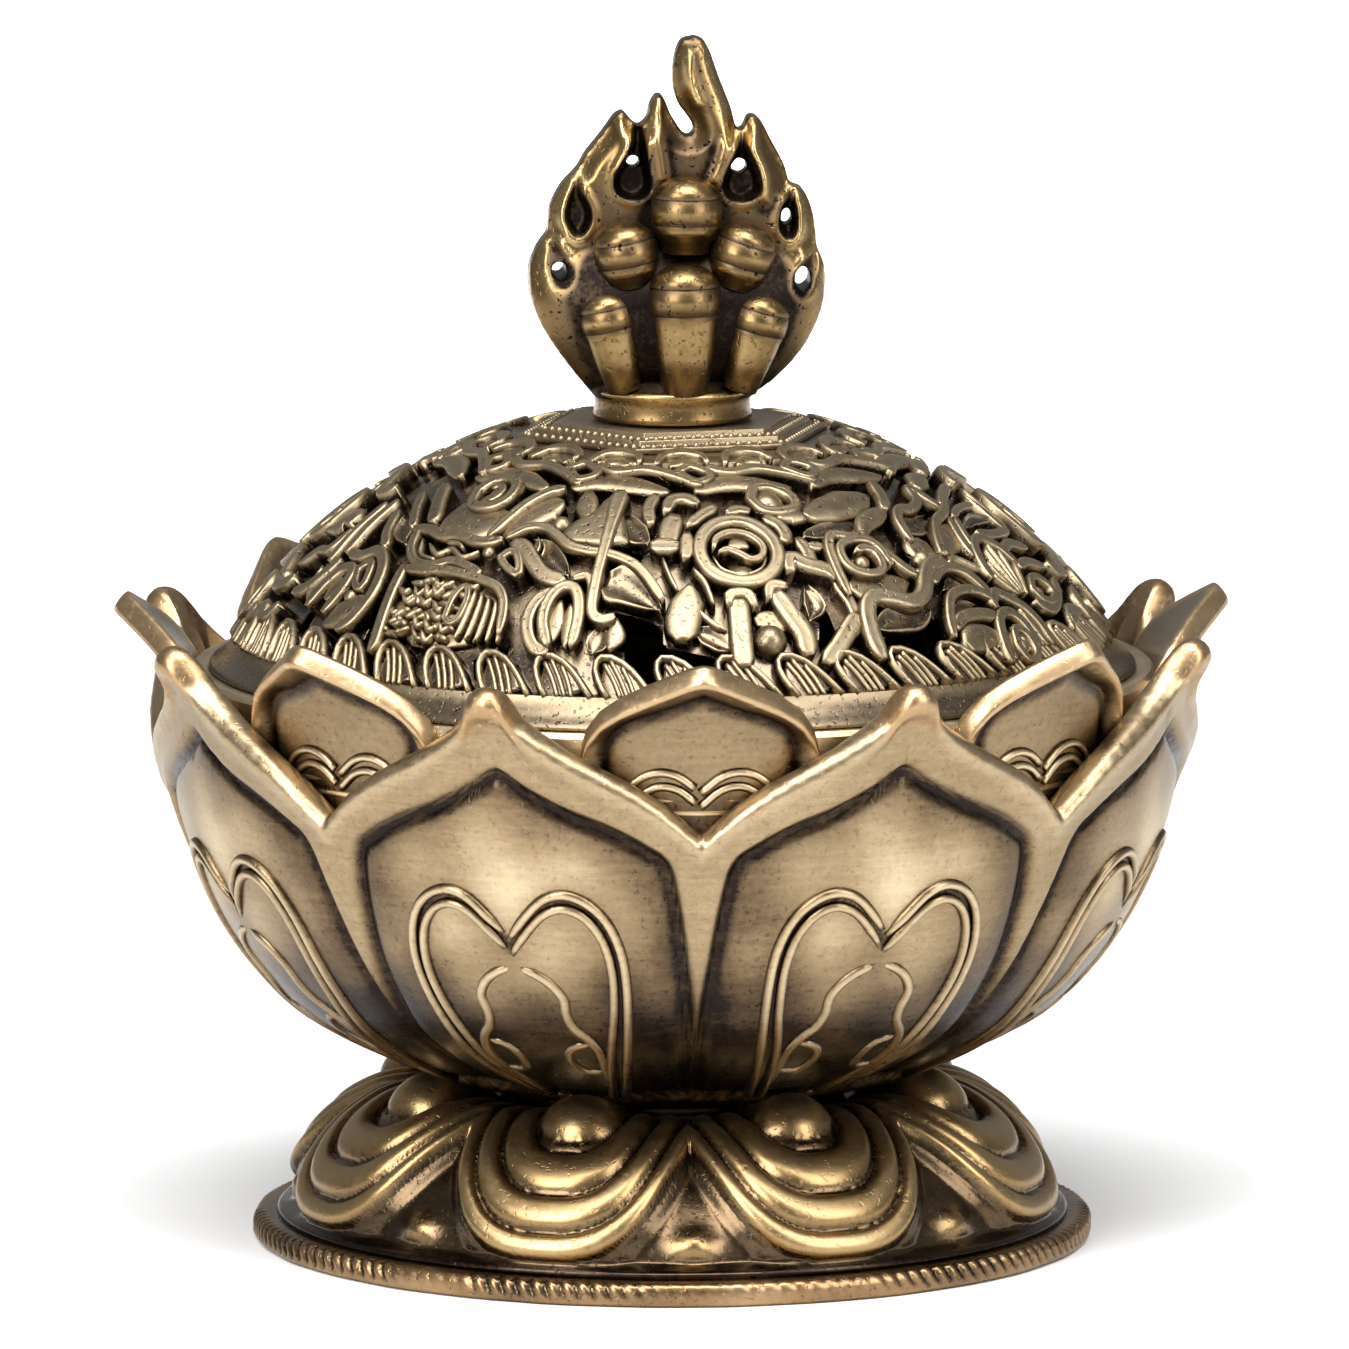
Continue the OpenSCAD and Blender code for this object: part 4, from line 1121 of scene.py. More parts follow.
CONCH_AND_SNAKE = [
    ("strap", 0.38, 0.3, [(24.4, 8.6), (24.4, 11.6), (25, 13.6), (26.8, 14.8), (30, 14.5), (33, 14.1),
                          (35, 12.6), (36.6, 11), (38.4, 9.8)]),
    ("domed", (0.6, 1.5, 1.3, 0.5), -0.35, [(25.6, 9.9), (29.4, 9.6), (33.4, 9.6), (37, 9.8)]),
    ("strap", 0.34, 0.4, [(34.4, 11), (34.4, 12.8), (32.8, 13.8), (29.8, 14), (26.9, 13.4), (26.2, 11.9),
                          (27.6, 10.8), (30.4, 10.4), (32.6, 10.9), (33, 12.4), (31.4, 13), (29.4, 12.8)]),
    ("domed", (0.4, 0.8, 0.4), -0.5, [(28.4, 11.8), (30, 12), (31.4, 12)]),
    ("strap", 0.62, 0.3, [(25.8, 2.6), (25.6, 5), (26.4, 7.2), (28.4, 8.3), (31.4, 8.1), (34.6, 7.5),
                          (37.4, 8.1), (40, 9.7), (42.6, 10.7), (46, 11)]),
    ("leaf", (0.5, 1.1, 1.05, 0.5), -0.45, [(27.4, 5.8), (31, 6.4), (34.6, 6.4), (38, 7.2)]),
    ("strap", 0.66, 0.0, [(17.6, 2.8), (20.2, 4.2), (22.8, 5.8), (25, 7)]),
    ("strap", 0.42, 0.25, [(40.6, 9), (43.4, 10), (46.4, 10.2), (49, 9.4), (50.4, 7.6), (50, 5.8)]),
    ("strap", 0.4, 0.35, [(38.4, 3.8), (39.8, 5.8), (42, 7.4), (45, 7.9), (48.2, 7.6), (50.4, 6.6)]),
    ("leaf", (0.3, 0.6, 0.3), -0.5, [(42.4, 6.2), (45, 6.8), (47.6, 6.6)]),
    ("leaf", (0.3, 0.7, 0.4), -0.6, [(44, 8.8), (47, 9), (49, 8)]),
    ("strap", 0.5, 0.2, [(39.6, 4.6), (42, 5.5), (45.6, 5.6), (49, 5.2)]),
    ("domed", (0.9, 1.25, 1.0, 0.5), 0.0, [(40.4, 3), (43, 3.7), (46, 3.6), (48, 3)]),
    ("strap", 0.42, 0.3, [(46.6, 0.9), (47.4, 3), (49.2, 4.9), (51.8, 5.3), (53.6, 4.2), (54, 1.8)]),
    ("loop", 0.34, 0.35, [(49.4, 2.4), (50.6, 3.7), (52.4, 3.3), (52.8, 1.8), (51.4, 0.9), (49.8, 1.2)]),
    ("domed", (0.4, 0.6, 0.3), 0.1, [(48.2, 1.2), (48.6, 2.6), (49.2, 4)]),
    ("domed", (0.4, 0.8, 0.4), 0.1, [(56.4, 1.9), (56.8, 3.8), (55.6, 5.6)]),
    ("strap", 0.42, 0.2, [(50, 6.2), (52, 7.2), (54, 6.6), (56.4, 5.4), (57.6, 3.6), (57.4, 1.8)]),
    ("strap", 0.4, 0.35, [(46.4, 11.4), (49.4, 13.4), (53, 14.8), (57.4, 15.4), (61, 16.2)]),
    ("domed", (0.5, 1.15, 1.2, 0.6), -0.05, [(48.6, 11.8), (51.6, 12.8), (55, 13.6), (57.6, 14.2)]),
    ("strap", 0.32, 0.25, [(54, 10.8), (55.2, 12.8), (57.8, 14.9)]),
    ("strap", 0.3, 0.2, [(56, 10.8), (57.4, 12.8), (60, 14.8)]),
    ("rim", 0.4, 0.1, [(47.2, 10.7), (49.6, 11.2), (52, 10.4), (54.2, 9.4)]),
    ("domed", (0.35, 0.8, 0.8, 0.5), 0.15, [(33.2, 14.5), (36, 15.9), (39.6, 16.6), (43.4, 17.1)]),
    ("strap", 0.5, 0.2, [(43, 17), (45.8, 18.4), (47.8, 20.4)]),
    ("strap", 0.42, 0.25, [(42.4, 13.2), (43.8, 15.6), (46.6, 16.7), (50.6, 16.6), (54.4, 17.4),
                           (56.6, 18.8), (58, 17), (58.6, 16)]),
    ("leaf", (0.5, 1.0, 0.9, 0.4), -0.4, [(44.6, 14.9), (48, 15.2), (51.4, 15.3), (54.4, 15.9)]),
    ("domed", (0.4, 0.9, 1.1, 0.5), 0.1, [(41.6, 11.4), (42.6, 12.6), (44, 12.8), (45.6, 11.6)]),
    ("domed", (0.6, 1.2, 1.4, 0.7), 0.1, [(24, 17.4), (29, 18), (36, 18.6), (42.6, 18.9)]),
    ("leaf", (0.4, 0.8, 0.8, 0.4), -0.4, [(22.4, 15.6), (27, 15.9), (32, 16.2), (37, 17)]),
    ("domed", (0.4, 0.9, 0.5), 0.15, [(18, 17.2), (21, 17.6), (24, 17)]),
    ("loop", 0.42, 0.2, [(14, 19.6), (16, 21), (20, 21), (23.4, 19.8), (23, 18.4), (19.6, 18), (16, 18.2)]),
    ("rim", 0.5, 0.2, [(38.6, 10.2), (41, 10.3)])]
FAN_AND_FINS = [
    ("rim", 0.34, 0.3, [(57.2, 6.5), (56.2, 7.4), (54.6, 8.6)]),
    ("rim", 0.34, 0.3, [(57.5, 6.6), (56.6, 8.4), (56.2, 10)]),
    ("rim", 0.34, 0.35, [(58, 6.6), (58, 9), (58.6, 11.2)]),
    ("rim", 0.34, 0.35, [(58.5, 6.6), (59.4, 9), (60.6, 11.6)]),
    ("rim", 0.34, 0.3, [(59, 6.6), (60.6, 8.6), (62.4, 10.8)]),
    ("rim", 0.34, 0.3, [(59.4, 6.4), (61.6, 7.8), (63.6, 9.4)]),
    ("strap", 0.4, 0.2, [(53.8, 8.4), (55, 10.4), (57.4, 11.9), (60.6, 12.3), (63.6, 11), (64.4, 9)]),
    ("strap", 0.42, 0.2, [(60, 16.2), (66, 17.2), (72, 17.8)]),
    ("strap", 0.32, 0.1, [(60.4, 15), (66, 15.6), (73, 15.4)]),
    ("leaf", (0.3, 0.6, 0.3), 0.0, [(61, 13.8), (67, 14.2), (74, 13.6)]),
    ("strap", 0.4, 0.2, [(61.4, 12.8), (67, 12.2), (74, 12)]),
    ("strap", 0.42, 0.15, [(64.4, 10.6), (69, 11), (74, 10)]),
    ("strap", 0.4, 0.2, [(64, 8.8), (68, 9), (73, 8)]),
    ("loop", 0.32, 0.25, [(62, 6.6), (64.6, 7.6), (67.4, 7.2), (68, 5.8), (65.4, 5.2), (63, 5.6)]),
    ("strap", 0.4, 0.1, [(60.6, 5.6), (64, 4.6), (69, 5.4), (73, 6.8)]),
    ("domed", (0.4, 0.8, 0.5), 0.0, [(67, 2.6), (71, 3.8), (75, 3.6)]),
    ("domed", (0.5, 1.0, 0.5), 0.0, [(62, 18.8), (67, 19.6), (72, 19.8)]),
    ("strap", 0.46, 0.3, [(78, 17.4), (83, 18.8), (90, 18.4), (97, 16.6), (102, 17.6)]),
    ("strap", 0.42, 0.35, [(84.6, 9), (81.6, 11), (82, 13.8), (86, 15.4), (90.4, 14.4), (91.6, 12),
                           (89, 10.4), (86, 11.2), (86.4, 12.8), (88.6, 13)]),
    ("strap", 0.55, 0.2, [(76, 8), (79.4, 6.8), (83.6, 7.6), (88, 8.6), (92, 7.6), (97, 5.8), (102, 7)]),
    ("loop", 0.4, 0.25, [(87, 2.6), (86.4, 4.6), (88.4, 6), (91, 5.2), (91.4, 3.2), (89.4, 2)]),
    ("domed", (0.4, 1.2, 1.0, 0.4), 0.1, [(92.6, 11.4), (95, 12.6), (98, 13.6), (101, 13)]),
    ("leaf", (0.4, 1.0, 0.9, 0.4), -0.1, [(76, 12), (78.6, 13.8), (80, 15.6), (82.4, 16.8)]),
    ("strap", 0.45, 0.15, [(93, 3.6), (95.4, 2.4), (98.4, 4), (101, 3), (104, 4.6)]),
    ("strap", 0.4, 0.2, [(98.6, 8), (101, 9.8), (104.6, 10.4), (105.6, 12.6)]),
    ("domed", (0.4, 0.8, 0.4), 0.1, [(76, 2.6), (78, 4.4), (80, 5.4)]),
    ("domed", (0.5, 0.9, 0.5), 0.0, [(74, 20), (80, 20.6), (86, 20.4)])]
# Strokes that repeat round the crown
CROWN_STRAPS = [
    ("domed", (0.4, 0.9, 0.9, 0.4), -0.2, [(-88, 21.4), (-80, 22.6), (-72, 22.2), (-64, 21.2)]),
    ("strap", 0.4, 0.0, [(-84, 24.6), (-78, 23.8), (-70, 24.2), (-62, 23.2), (-56, 21.8)]),
    ("loop", 0.34, 0.0, [(-92, 23.8), (-88, 24.7), (-83, 23.4), (-87, 22.4)])]
CROWN_CURLS = [
    ("strap", (0.3, 0.5, 0.3), -0.05, [(-88, 24.9), (-86, 26.5), (-80, 27.1), (-74, 26.4), (-73, 25.2)]),
    ("domed", (0.3, 0.62, 0.3), -0.3, [(-84, 25.1), (-80, 25.9), (-76, 25.2)])]
# Pearls: azimuth, arc, radius in millimetres, and lift above the dome
BEADS = [(10.7, 5.2, 1.35, 0.1), (8.4, 11.4, 1.5, -0.5), (-36.4, 13, 0.55, 0.3), (18, 19.5, 1.5, -0.2),
         (30.4, 12.1, 0.7, 0.0), (51.2, 2.3, 0.8, 0.1), (-58.4, 7, 0.6, 0.3), (95.2, 6.6, 0.7, 0.3),
         (88.9, 4, 0.8, 0.0), (-44.6, 19.3, 0.7, 0.2), (65, 6.4, 0.6, 0.1), (-26, 17.2, 0.9, -0.3),
         (42.6, 11.6, 0.9, 0.2)]
SECTIONS = {"strap": Ribbons.SECTION, "loop": Ribbons.SECTION, "rim": Ribbons.ROUND, "leaf": HOLLOW,
            "domed": DOMED}


def repeated(strokes, count, step):
    """The same strokes count times round the dome, step degrees apart."""
    return [(kind, half_width, lift, [(azimuth + step * k, arc) for azimuth, arc in points])
            for k in range(count) for kind, half_width, lift, points in strokes]


def add_stroke(made, kind, half_width, lift, points, half_turn=0.0):
    """Sweeps one stroke of ornament along the dome, standing on the casting underneath."""
    points = np.asarray(points, float)
    scaled = points * [1 / dome_scale(10.0), 1]
    length = np.linalg.norm(np.diff(scaled, axis=0), axis=1).sum()
    count = int(np.clip(length / 0.3, 10, 70))
    closed = kind == "loop"
    if closed:
        line = curve_through(np.vstack([points, points[:1]]), count + 1)[:-1]
    else:
        line = curve_through(points, count)
    widths = np.interp(np.linspace(0, 1, len(line)), np.linspace(0, 1, np.size(half_width)),
                       np.atleast_1d(half_width))
    widths = widths * {"strap": 1.3, "loop": 1.25, "rim": 1.3, "leaf": 1.15, "domed": 1.2}[kind]
    if not closed:
        ends = np.minimum(np.arange(len(line)), np.arange(len(line))[::-1])
        widths = widths * (0.45 + 0.55 * smooth_step(ends, -0.5, 2.5))
    azimuth = line[:, 0] + half_turn
    foot_of = on_dome(azimuth, line[:, 1], GROUND)
    up = on_dome(azimuth, line[:, 1], GROUND + 1) - foot_of
    made.add(foot_of, up, widths, lift + TOP_LIFT - GROUND, 0.35, SECTIONS[kind], closed=closed, wear=0.9)


def wheel_strokes():
    """The wheel at the front: a raised ring round a comma-shaped swirl."""
    def around(points):
        return [(8.3 + u * dome_scale(13.6), 13.65 + v) for u, v in points]
    turns = np.radians(np.arange(0, 360, 24))
    ring = [(3.0 * math.sin(t), 3.3 * math.cos(t)) for t in turns]
    comma = [(-1.9, 0.3), (-1.5, 1.5), (-0.3, 2.1), (1.2, 1.7), (2.0, 0.5), (1.7, -0.6), (0.8, -0.9),
             (0.1, -0.3), (-0.8, 0.2), (-1.5, -0.1)]
    return [("loop", 0.52, 0.45, around(ring)), ("strap", 0.26, 0.2, around(comma)),
            ("domed", (0.3, 0.7, 0.3), -0.2, around([(-0.6, 0.9), (0.3, 1.2), (1.0, 0.7)])),
            ("rim", 0.2, 0.0, around([(-2.0, -0.4), (-1.4, -1.7), (0.1, -2.3), (1.5, -1.7), (2.1, -0.6)]))]


def crinkles(seed):
    """Short wavering strokes that fill the peony, and the fringe that hangs at its side."""
    chaos = random.Random(seed)
    strokes = []
    for row in range(6):
        for column in range(6):
            a = -47.4 + column * 2.1 + (row % 2) + chaos.uniform(-0.5, 0.5)
            b = 4.4 + row * 0.98 + chaos.uniform(-0.2, 0.2)
            bend = chaos.uniform(-0.6, 0.6)
            strokes.append(("rim", chaos.uniform(0.26, 0.42), chaos.uniform(0.0, 0.35),
                            [(a - 1.1, b - bend), (a, b + bend * 0.5),
                             (a + 1.1, b + chaos.uniform(-0.4, 0.4))]))
    for k in range(5):
        strokes.append(("rim", 0.33, 0.3 - 0.05 * k, [(-34.4 + 1.35 * k, 8.9 - 0.25 * k),
                                                      (-34.2 + 1.45 * k, 6.6), (-34.4 + 1.6 * k, 4.4)]))
    strokes.append(("domed", (1.0, 2.9, 2.9, 1.6), -0.55, [(-48.6, 6.8), (-44, 7.2), (-39, 7.2),
                                                           (-30.4, 6.6)]))
    return strokes


def openwork(half_turn, name):
    """Half of the lid's cast ornament: wheel, spokes, loops, leaves, conch and fans."""
    made = Ribbons()
    strokes = (wheel_strokes() + WHEEL_AND_SPOKES + WING_AND_LOOPS + PEONY_AND_CREST + CONCH_AND_SNAKE
               + FAN_AND_FINS + repeated(CROWN_STRAPS, 6, 30) + repeated(CROWN_CURLS, 9, 20) + crinkles(11))
    for k, (kind, half_width, lift, points) in enumerate(strokes):
        add_stroke(made, kind, half_width, lift + 0.015 * (k % 7), points, half_turn)
    ornament = made.build(name)
    beads = [bead(on_dome(a + half_turn, b, lift - 0.4 * size), size) for a, b, size, lift in BEADS]
    return join(name, [ornament, *beads])


def bead(place, size, segments=20, rings=12, worn=0.62):
    """A cast pearl, sunk into what it sits on."""
    bpy.ops.object.select_all(action="DESELECT")
    bpy.ops.mesh.primitive_uv_sphere_add(segments=segments, ring_count=rings, radius=size * MM,
                                         location=Vector(place) * MM)
    made = bpy.context.object
    bpy.ops.object.transform_apply(location=True, rotation=True, scale=True)
    bpy.ops.object.shade_smooth()
    mark_wear_and_painted_light(made, np.full(len(made.data.vertices), worn))
    return made
# ---------------------------------------------------------------- cap plate
CAP_RADIUS = 12.8
CAP_TURN = -16


def cap_plate():
    """A low hexagonal plate in three steps, with a row of cast beads round its lowest step."""
    bpy.ops.object.select_all(action="DESELECT")
    tier = (CAP_TOP - CROWN_HEIGHT) / 3
    bpy.ops.mesh.primitive_cylinder_add(vertices=6, radius=CAP_RADIUS * MM, depth=tier * MM,
                                        location=(0, 0, (CROWN_HEIGHT + tier / 2) * MM),
                                        rotation=(0, 0, math.radians(CAP_TURN)))
    piece = bpy.context.object
    piece.name = piece.data.name = "cap_plate_stepped"
    bpy.ops.object.transform_apply(location=True, rotation=True, scale=True)
    for step in range(2):
        top = (CROWN_HEIGHT + tier * (step + 1)) * MM
        select_faces(piece, lambda face: face.normal.z > 0.9 and abs(face.center.z - top) < 0.05 * MM
                     and face.area > 60 * MM * MM)
        bpy.ops.mesh.inset(thickness=1.3 * MM, depth=0)
        bpy.ops.mesh.extrude_region_move(TRANSFORM_OT_translate={"value": (0, 0, tier * MM)})
    select_faces(piece, lambda face: face.normal.z > 0.9 and face.area > 60 * MM * MM)
    bpy.ops.mesh.inset(thickness=0.7 * MM, depth=-0.18 * MM)
    bpy.ops.mesh.select_mode(type="VERT")
    bpy.ops.mesh.select_all(action="DESELECT")
    bpy.ops.mesh.edges_select_sharp(sharpness=math.radians(30))
    bpy.ops.mesh.bevel(offset=0.12 * MM, segments=3, affect="EDGES")
    bpy.ops.object.mode_set(mode="OBJECT")
    bpy.ops.object.shade_smooth_by_angle(angle=math.radians(30))
    points = read_points(piece)
    mark_wear_and_painted_light(piece, 0.5 + 0.2 * smooth_step(points[:, 2], CROWN_HEIGHT, CAP_TOP))
    beads = []
    for side in range(6):
        ends = [math.radians(60 * (side + k) + CAP_TURN) for k in (0, 1)]
        first, last = [Vector((-math.sin(t), math.cos(t), 0)) * (CAP_RADIUS - 0.72) for t in ends]
        for k in range(14):
            for inwards, level in ((0, 1), (1.45, 2)):
                place = first.lerp(last, (k + 0.5) / 14) * (1 - inwards / CAP_RADIUS)
                beads.append(bead((place.x, place.y, CROWN_HEIGHT + tier * level), 0.26, 10, 6, worn=0.72))
    return join("cap_plate_stepped", [piece, *beads])


# ---------------------------------------------------------------- finial
# The flame's outline from the collar up the right side and down the left: x and height
FLAME = [(6.2, 66.8), (8.1, 68.2), (10.2, 70.6), (11.5, 73.2), (11.95, 75.4), (11.9, 77), (11.3, 78.6),
         (11.15, 80.2), (10.8, 81.8), (10.1, 83.1), (9.2, 83.5), (8.7, 85), (7.7, 86.9), (6.9, 88.4),
         (6.2, 88.9), (5.7, 88.6), (5.5, 87.9), (5.0, 87.8), (4.5, 89.6), (3.6, 91.9), (2.9, 93.9),
         (2.3, 94.85), (1.4, 95), (0.6, 94.7), (0.1, 93.4), (-0.05, 91.9), (0.05, 90.9), (0.4, 89.8),
         (1.05, 88.9), (1.55, 88.1), (1.5, 87.4), (0.95, 87.3), (0.4, 88), (-0.2, 89), (-0.65, 90.1),
         (-1.15, 90.6), (-1.8, 89.8), (-2.1, 88.6), (-2.7, 88.1), (-3.3, 88.5), (-3.9, 89.2), (-4.6, 88.9),
         (-5.7, 87.4), (-6.9, 85.9), (-7.6, 84.7), (-8.8, 83.4), (-9.7, 81.6), (-9.9, 79.8), (-10.8, 78.4),
         (-11.35, 76.6), (-11.1, 74.4), (-10.2, 72.2), (-8.6, 69.8), (-7.2, 68), (-6.2, 66.8)]
# Through openings, and the hollows round them: centre x, height, half width, half height
EYES = [(-9.0, 76.9, 0.6, 0.65), (5.15, 84.9, 0.62, 0.6), (10.1, 76.1, 0.62, 0.95), (-3.15, 85.3, 0.5, 0.5),
        (8.85, 80.9, 0.42, 0.7)]
HOLLOWS = [[(-9.9, 79), (-10.1, 77), (-9.4, 75.6), (-8.2, 75.8), (-7.8, 77.2), (-8.6, 78.6), (-9.4, 79.4)],
           [(-7.6, 84.4), (-8.6, 82.2), (-8.7, 80.6), (-7.6, 79.3), (-6.5, 80.2), (-6.3, 81.6), (-6.9, 83)],
           [(-3.2, 88.4), (-3.7, 86.6), (-4.8, 84.4), (-4.6, 82.8), (-3, 82.2), (-1.7, 83.2), (-1.9, 85.6),
            (-2.3, 88)], [(5.4, 88), (4.6, 86), (3.7, 83.8), (4.1, 82.4), (5.6, 82), (6.9, 83), (6.7, 84.8),
                          (5.9, 86.6)], [(9.4, 83.4), (8.3, 81.8), (8.1, 80), (9, 79), (9.9, 79.9),
                                         (9.9, 81.8)], [(11.2, 78.4), (9.8, 77.4), (9.2, 75.8), (9.9, 74.6),
                                                        (11, 75.2), (11.4, 76.8)]]
FLAME_RIDGES = [[(2.3, 94.2), (2.9, 92), (3.8, 89.6), (4.1, 87.2), (3.6, 85.2), (3.1, 84)], [(-1.2, 90),
                                                                                             (-1.6, 88.4),
                                                                                             (-1.2, 86.2),
                                                                                             (-0.9, 84.2)],
                [(1, 94), (1.2, 92), (1.9, 90)], [(-4.2, 88.4), (-3.6, 86.8), (-4.4, 85)], [(6.2, 88.2),
                                                                                            (6.4, 86.2),
                                                                                            (7.1, 84.4),
                                                                                            (7.2, 82.4)]]


def flame():
    """The flame and the bud that it grows from: a pierced plate that is swelled and hollowed.

    The plate lies flat and counts in millimetres until its points are written as a standing flame.
    """
    outline = curve_through(FLAME, 340)
    curve = bpy.data.curves.new("flame_outline", "CURVE")
    curve.dimensions = "2D"
    curve.fill_mode = "BOTH"
    curve.extrude = 1.0
    turns = np.linspace(0, math.tau, 28, endpoint=False)
    eyes = [np.stack([x + w * np.cos(turns), z + h * np.sin(turns)], -1) for x, z, w, h in EYES]
    for loop in [outline, *eyes]:
        spline = curve.splines.new("POLY")
        spline.points.add(len(loop) - 1)
        for point, (x, z) in zip(spline.points, loop):
            point.co = (x, z, 0, 1)
        spline.use_cyclic_u = True
    piece = bpy.data.objects.new("flame_finial", curve)
    bpy.context.scene.collection.objects.link(piece)
    make_active(piece)
    bpy.ops.object.convert(target="MESH")
    piece = bpy.context.object
    bpy.ops.object.mode_set(mode="EDIT")
    bpy.ops.mesh.select_all(action="SELECT")
    bpy.ops.mesh.remove_doubles(threshold=0.001)
    bpy.ops.mesh.normals_make_consistent(inside=False)
    bpy.ops.object.mode_set(mode="OBJECT")
    apply_modifier(piece, "REMESH", mode="VOXEL", voxel_size=0.2)
    apply_modifier(piece, "SMOOTH", iterations=3)
    flat = read_points(piece) * MM
    x, z, side = flat[:, 0], flat[:, 1], flat[:, 2]
    thick, worn = flame_thickness(outline, x, z)
    write_points(piece, np.stack([x, -np.clip(side, -1, 1) * thick, z], -1))
    mark_wear_and_painted_light(piece, np.where(np.abs(side) < 0.6, worn * 0.6, worn))
    tidy(piece)
    return piece


def flame_thickness(outline, x, z):
    """Half the flame's thickness at each point, and how rubbed it is there, with painted shade round the
    jewels.
    """
    from_edge = distance_to(np.vstack([outline, outline[:1]]), x, z)
    thick = 1.15 + 1.35 * smooth_step(from_edge, 0, 1.6)
    worn = np.full(len(x), 0.62)
    for hollow in HOLLOWS:
        line = curve_through(hollow + hollow[:1], 50)
        gap = distance_to(line, x, z)
        within = inside_of(line, x, z)
        thick -= np.where(within, 1.35 * smooth_step(gap, 0, 0.8), 0)
        thick += 0.3 * np.exp(-(gap / 0.38) ** 2)
        worn = np.where(within, 0.72 - 0.64 * smooth_step(gap, -0.1, 0.5), worn)
        worn = worn + np.where(within, 0, 0.3 * np.exp(-(gap / 0.4) ** 2))
    for ridge in FLAME_RIDGES:
        gap = distance_to(curve_through(ridge, 30), x, z)
        thick += 0.42 * np.exp(-(gap / 0.4) ** 2)
        worn += 0.3 * np.exp(-(gap / 0.35) ** 2) - 0.22 * np.exp(-((gap - 0.9) / 0.4) ** 2)
    cup = 1 - (x / 12.2) ** 2 - ((z - 75) / 9.2) ** 2
    bulb = 6.1 * np.sqrt(np.clip(cup, 0, 1)) * smooth_step(z, 84, 74)
    neck = 5.6 * np.sqrt(np.clip(1 - (x / 6.6) ** 2, 0, 1)) * smooth_step(z, 70.5, 67)
    swell = np.maximum(bulb, neck)
    thick = np.where(swell > thick, swell + 0.3 * np.exp(-(swell - thick)),
                     thick + 0.3 * np.exp(-(thick - swell)))
    worn -= 0.28 * smooth_step(swell - 2.6, 0, 1.5)
    worn -= 0.35 * smooth_step(z, 69.5, 67.2)
    # Painted shade: the flame is darkened round each jewel that stands before it.
    for _, top, bottom, radius, *_ in JEWELS:
        beside = distance_to([top, bottom], x, z) - radius
        worn -= 0.4 * np.exp(-(np.maximum(beside, 0) / 0.9) ** 2)
    return thick, worn


def jewel(name, top, bottom, radius, foot_radius, front):
    """A jewel standing before the flame: a rounded cap over a band, and a tapering body below."""
    top, bottom = np.asarray(top, float), np.asarray(bottom, float)
    length = np.linalg.norm(top - bottom)
    cap = radius * 0.62
    band = radius * 0.72
    line = [(0, length), (radius * 0.35, length - 0.08 * cap), (radius * 0.62, length - 0.27 * cap),
            (radius * 0.84, length - 0.58 * cap), (radius * 0.965, length - cap + 0.1),
            (radius * 0.93, length - cap), (radius * 0.975, length - cap - 0.1),
            (radius, length - cap - band * 0.5), (radius * 0.985, length - cap - band + 0.1),
            (radius * 0.93, length - cap - band), (radius * 0.95, length - cap - band - 0.1),
            (radius * 0.9, length - cap - band - 0.5), (radius * 0.86, length - cap - band - 1.2),
            (foot_radius + 0.62 * (radius * 0.86 - foot_radius), length * 0.3), (foot_radius, 0.2),
            (foot_radius * 0.7, 0.03), (0, 0)]
    piece = turned(name, line, 48)
    points = read_points(piece)
    height = points[:, 2]
    seam = np.minimum(np.abs(height - (length - cap)), np.abs(height - (length - cap - band)))
    worn = 0.64 - 0.6 * np.exp(-(seam / 0.14) ** 2) - 0.3 * smooth_step(height, length * 0.4, 0)
    lean = math.atan2(top[0] - bottom[0], top[1] - bottom[1])
    c, s = math.cos(lean), math.sin(lean)
    placed = np.stack([bottom[0] + points[:, 0] * c + height * s, points[:, 1] - front,
                       bottom[1] - points[:, 0] * s + height * c], -1)
    write_points(piece, placed)
    mark_wear_and_painted_light(piece, worn)
    return piece


# Name, top and bottom as (x, height), radius, radius at the foot, and how far forward it stands
JEWELS = [
    ("long_jewel_middle", (0.65, 77.7), (0.75, 67.2), 2.95, 1.75, 4.9),
    ("long_jewel_left", (-5.7, 75.5), (-3.9, 67.4), 2.3, 1.3, 4.1),
    ("long_jewel_right", (7.2, 75.2), (5.0, 67.4), 2.3, 1.3, 4.1),
    ("short_jewel_left", (-4.3, 80.8), (-3.3, 75.6), 2.5, 1.9, 3.7),
    ("short_jewel_right", (6.1, 80.6), (4.4, 75.5), 2.5, 1.9, 3.7),
    ("top_jewel", (0.95, 84.4), (0.9, 78.2), 2.8, 1.9, 3.3)]


def finial():
    """The flame, its jewels front and back, and the round collar that it stands on."""
    parts = [flame()]
    for half_turn in (0, 1):
        for name, top, bottom, radius, foot_radius, front in JEWELS:
            made = jewel(f"{name}_{half_turn}", top, bottom, radius, foot_radius, front)
            if half_turn:
                write_points(made, read_points(made) * [-1, -1, 1])
            parts.append(made)
    low = CAP_TOP
    line = [(1.55, low), (6.0, low), (6.3, low + 0.15), (6.2, low + 0.5), (6.1, low + 1.3),
            (6.15, low + 1.9), (6.4, low + 2.2), (6.35, low + 2.45), (5.9, low + 2.6), (5.6, low + 2.65),
            (5.3, low + 3.2), (1.55, low + 3.6), (1.55, low)]
    collar = turned("finial_collar", line, 96)
    height = read_points(collar)[:, 2] - low
    mark_wear_and_painted_light(collar, 0.52 + 0.36 * np.exp(-((height - 2.2) / 0.25) ** 2) - 0.4 * smooth_step(height, 2.45,
                                                                                              2.7))
    parts.append(collar)
    return join("flame_finial", parts)


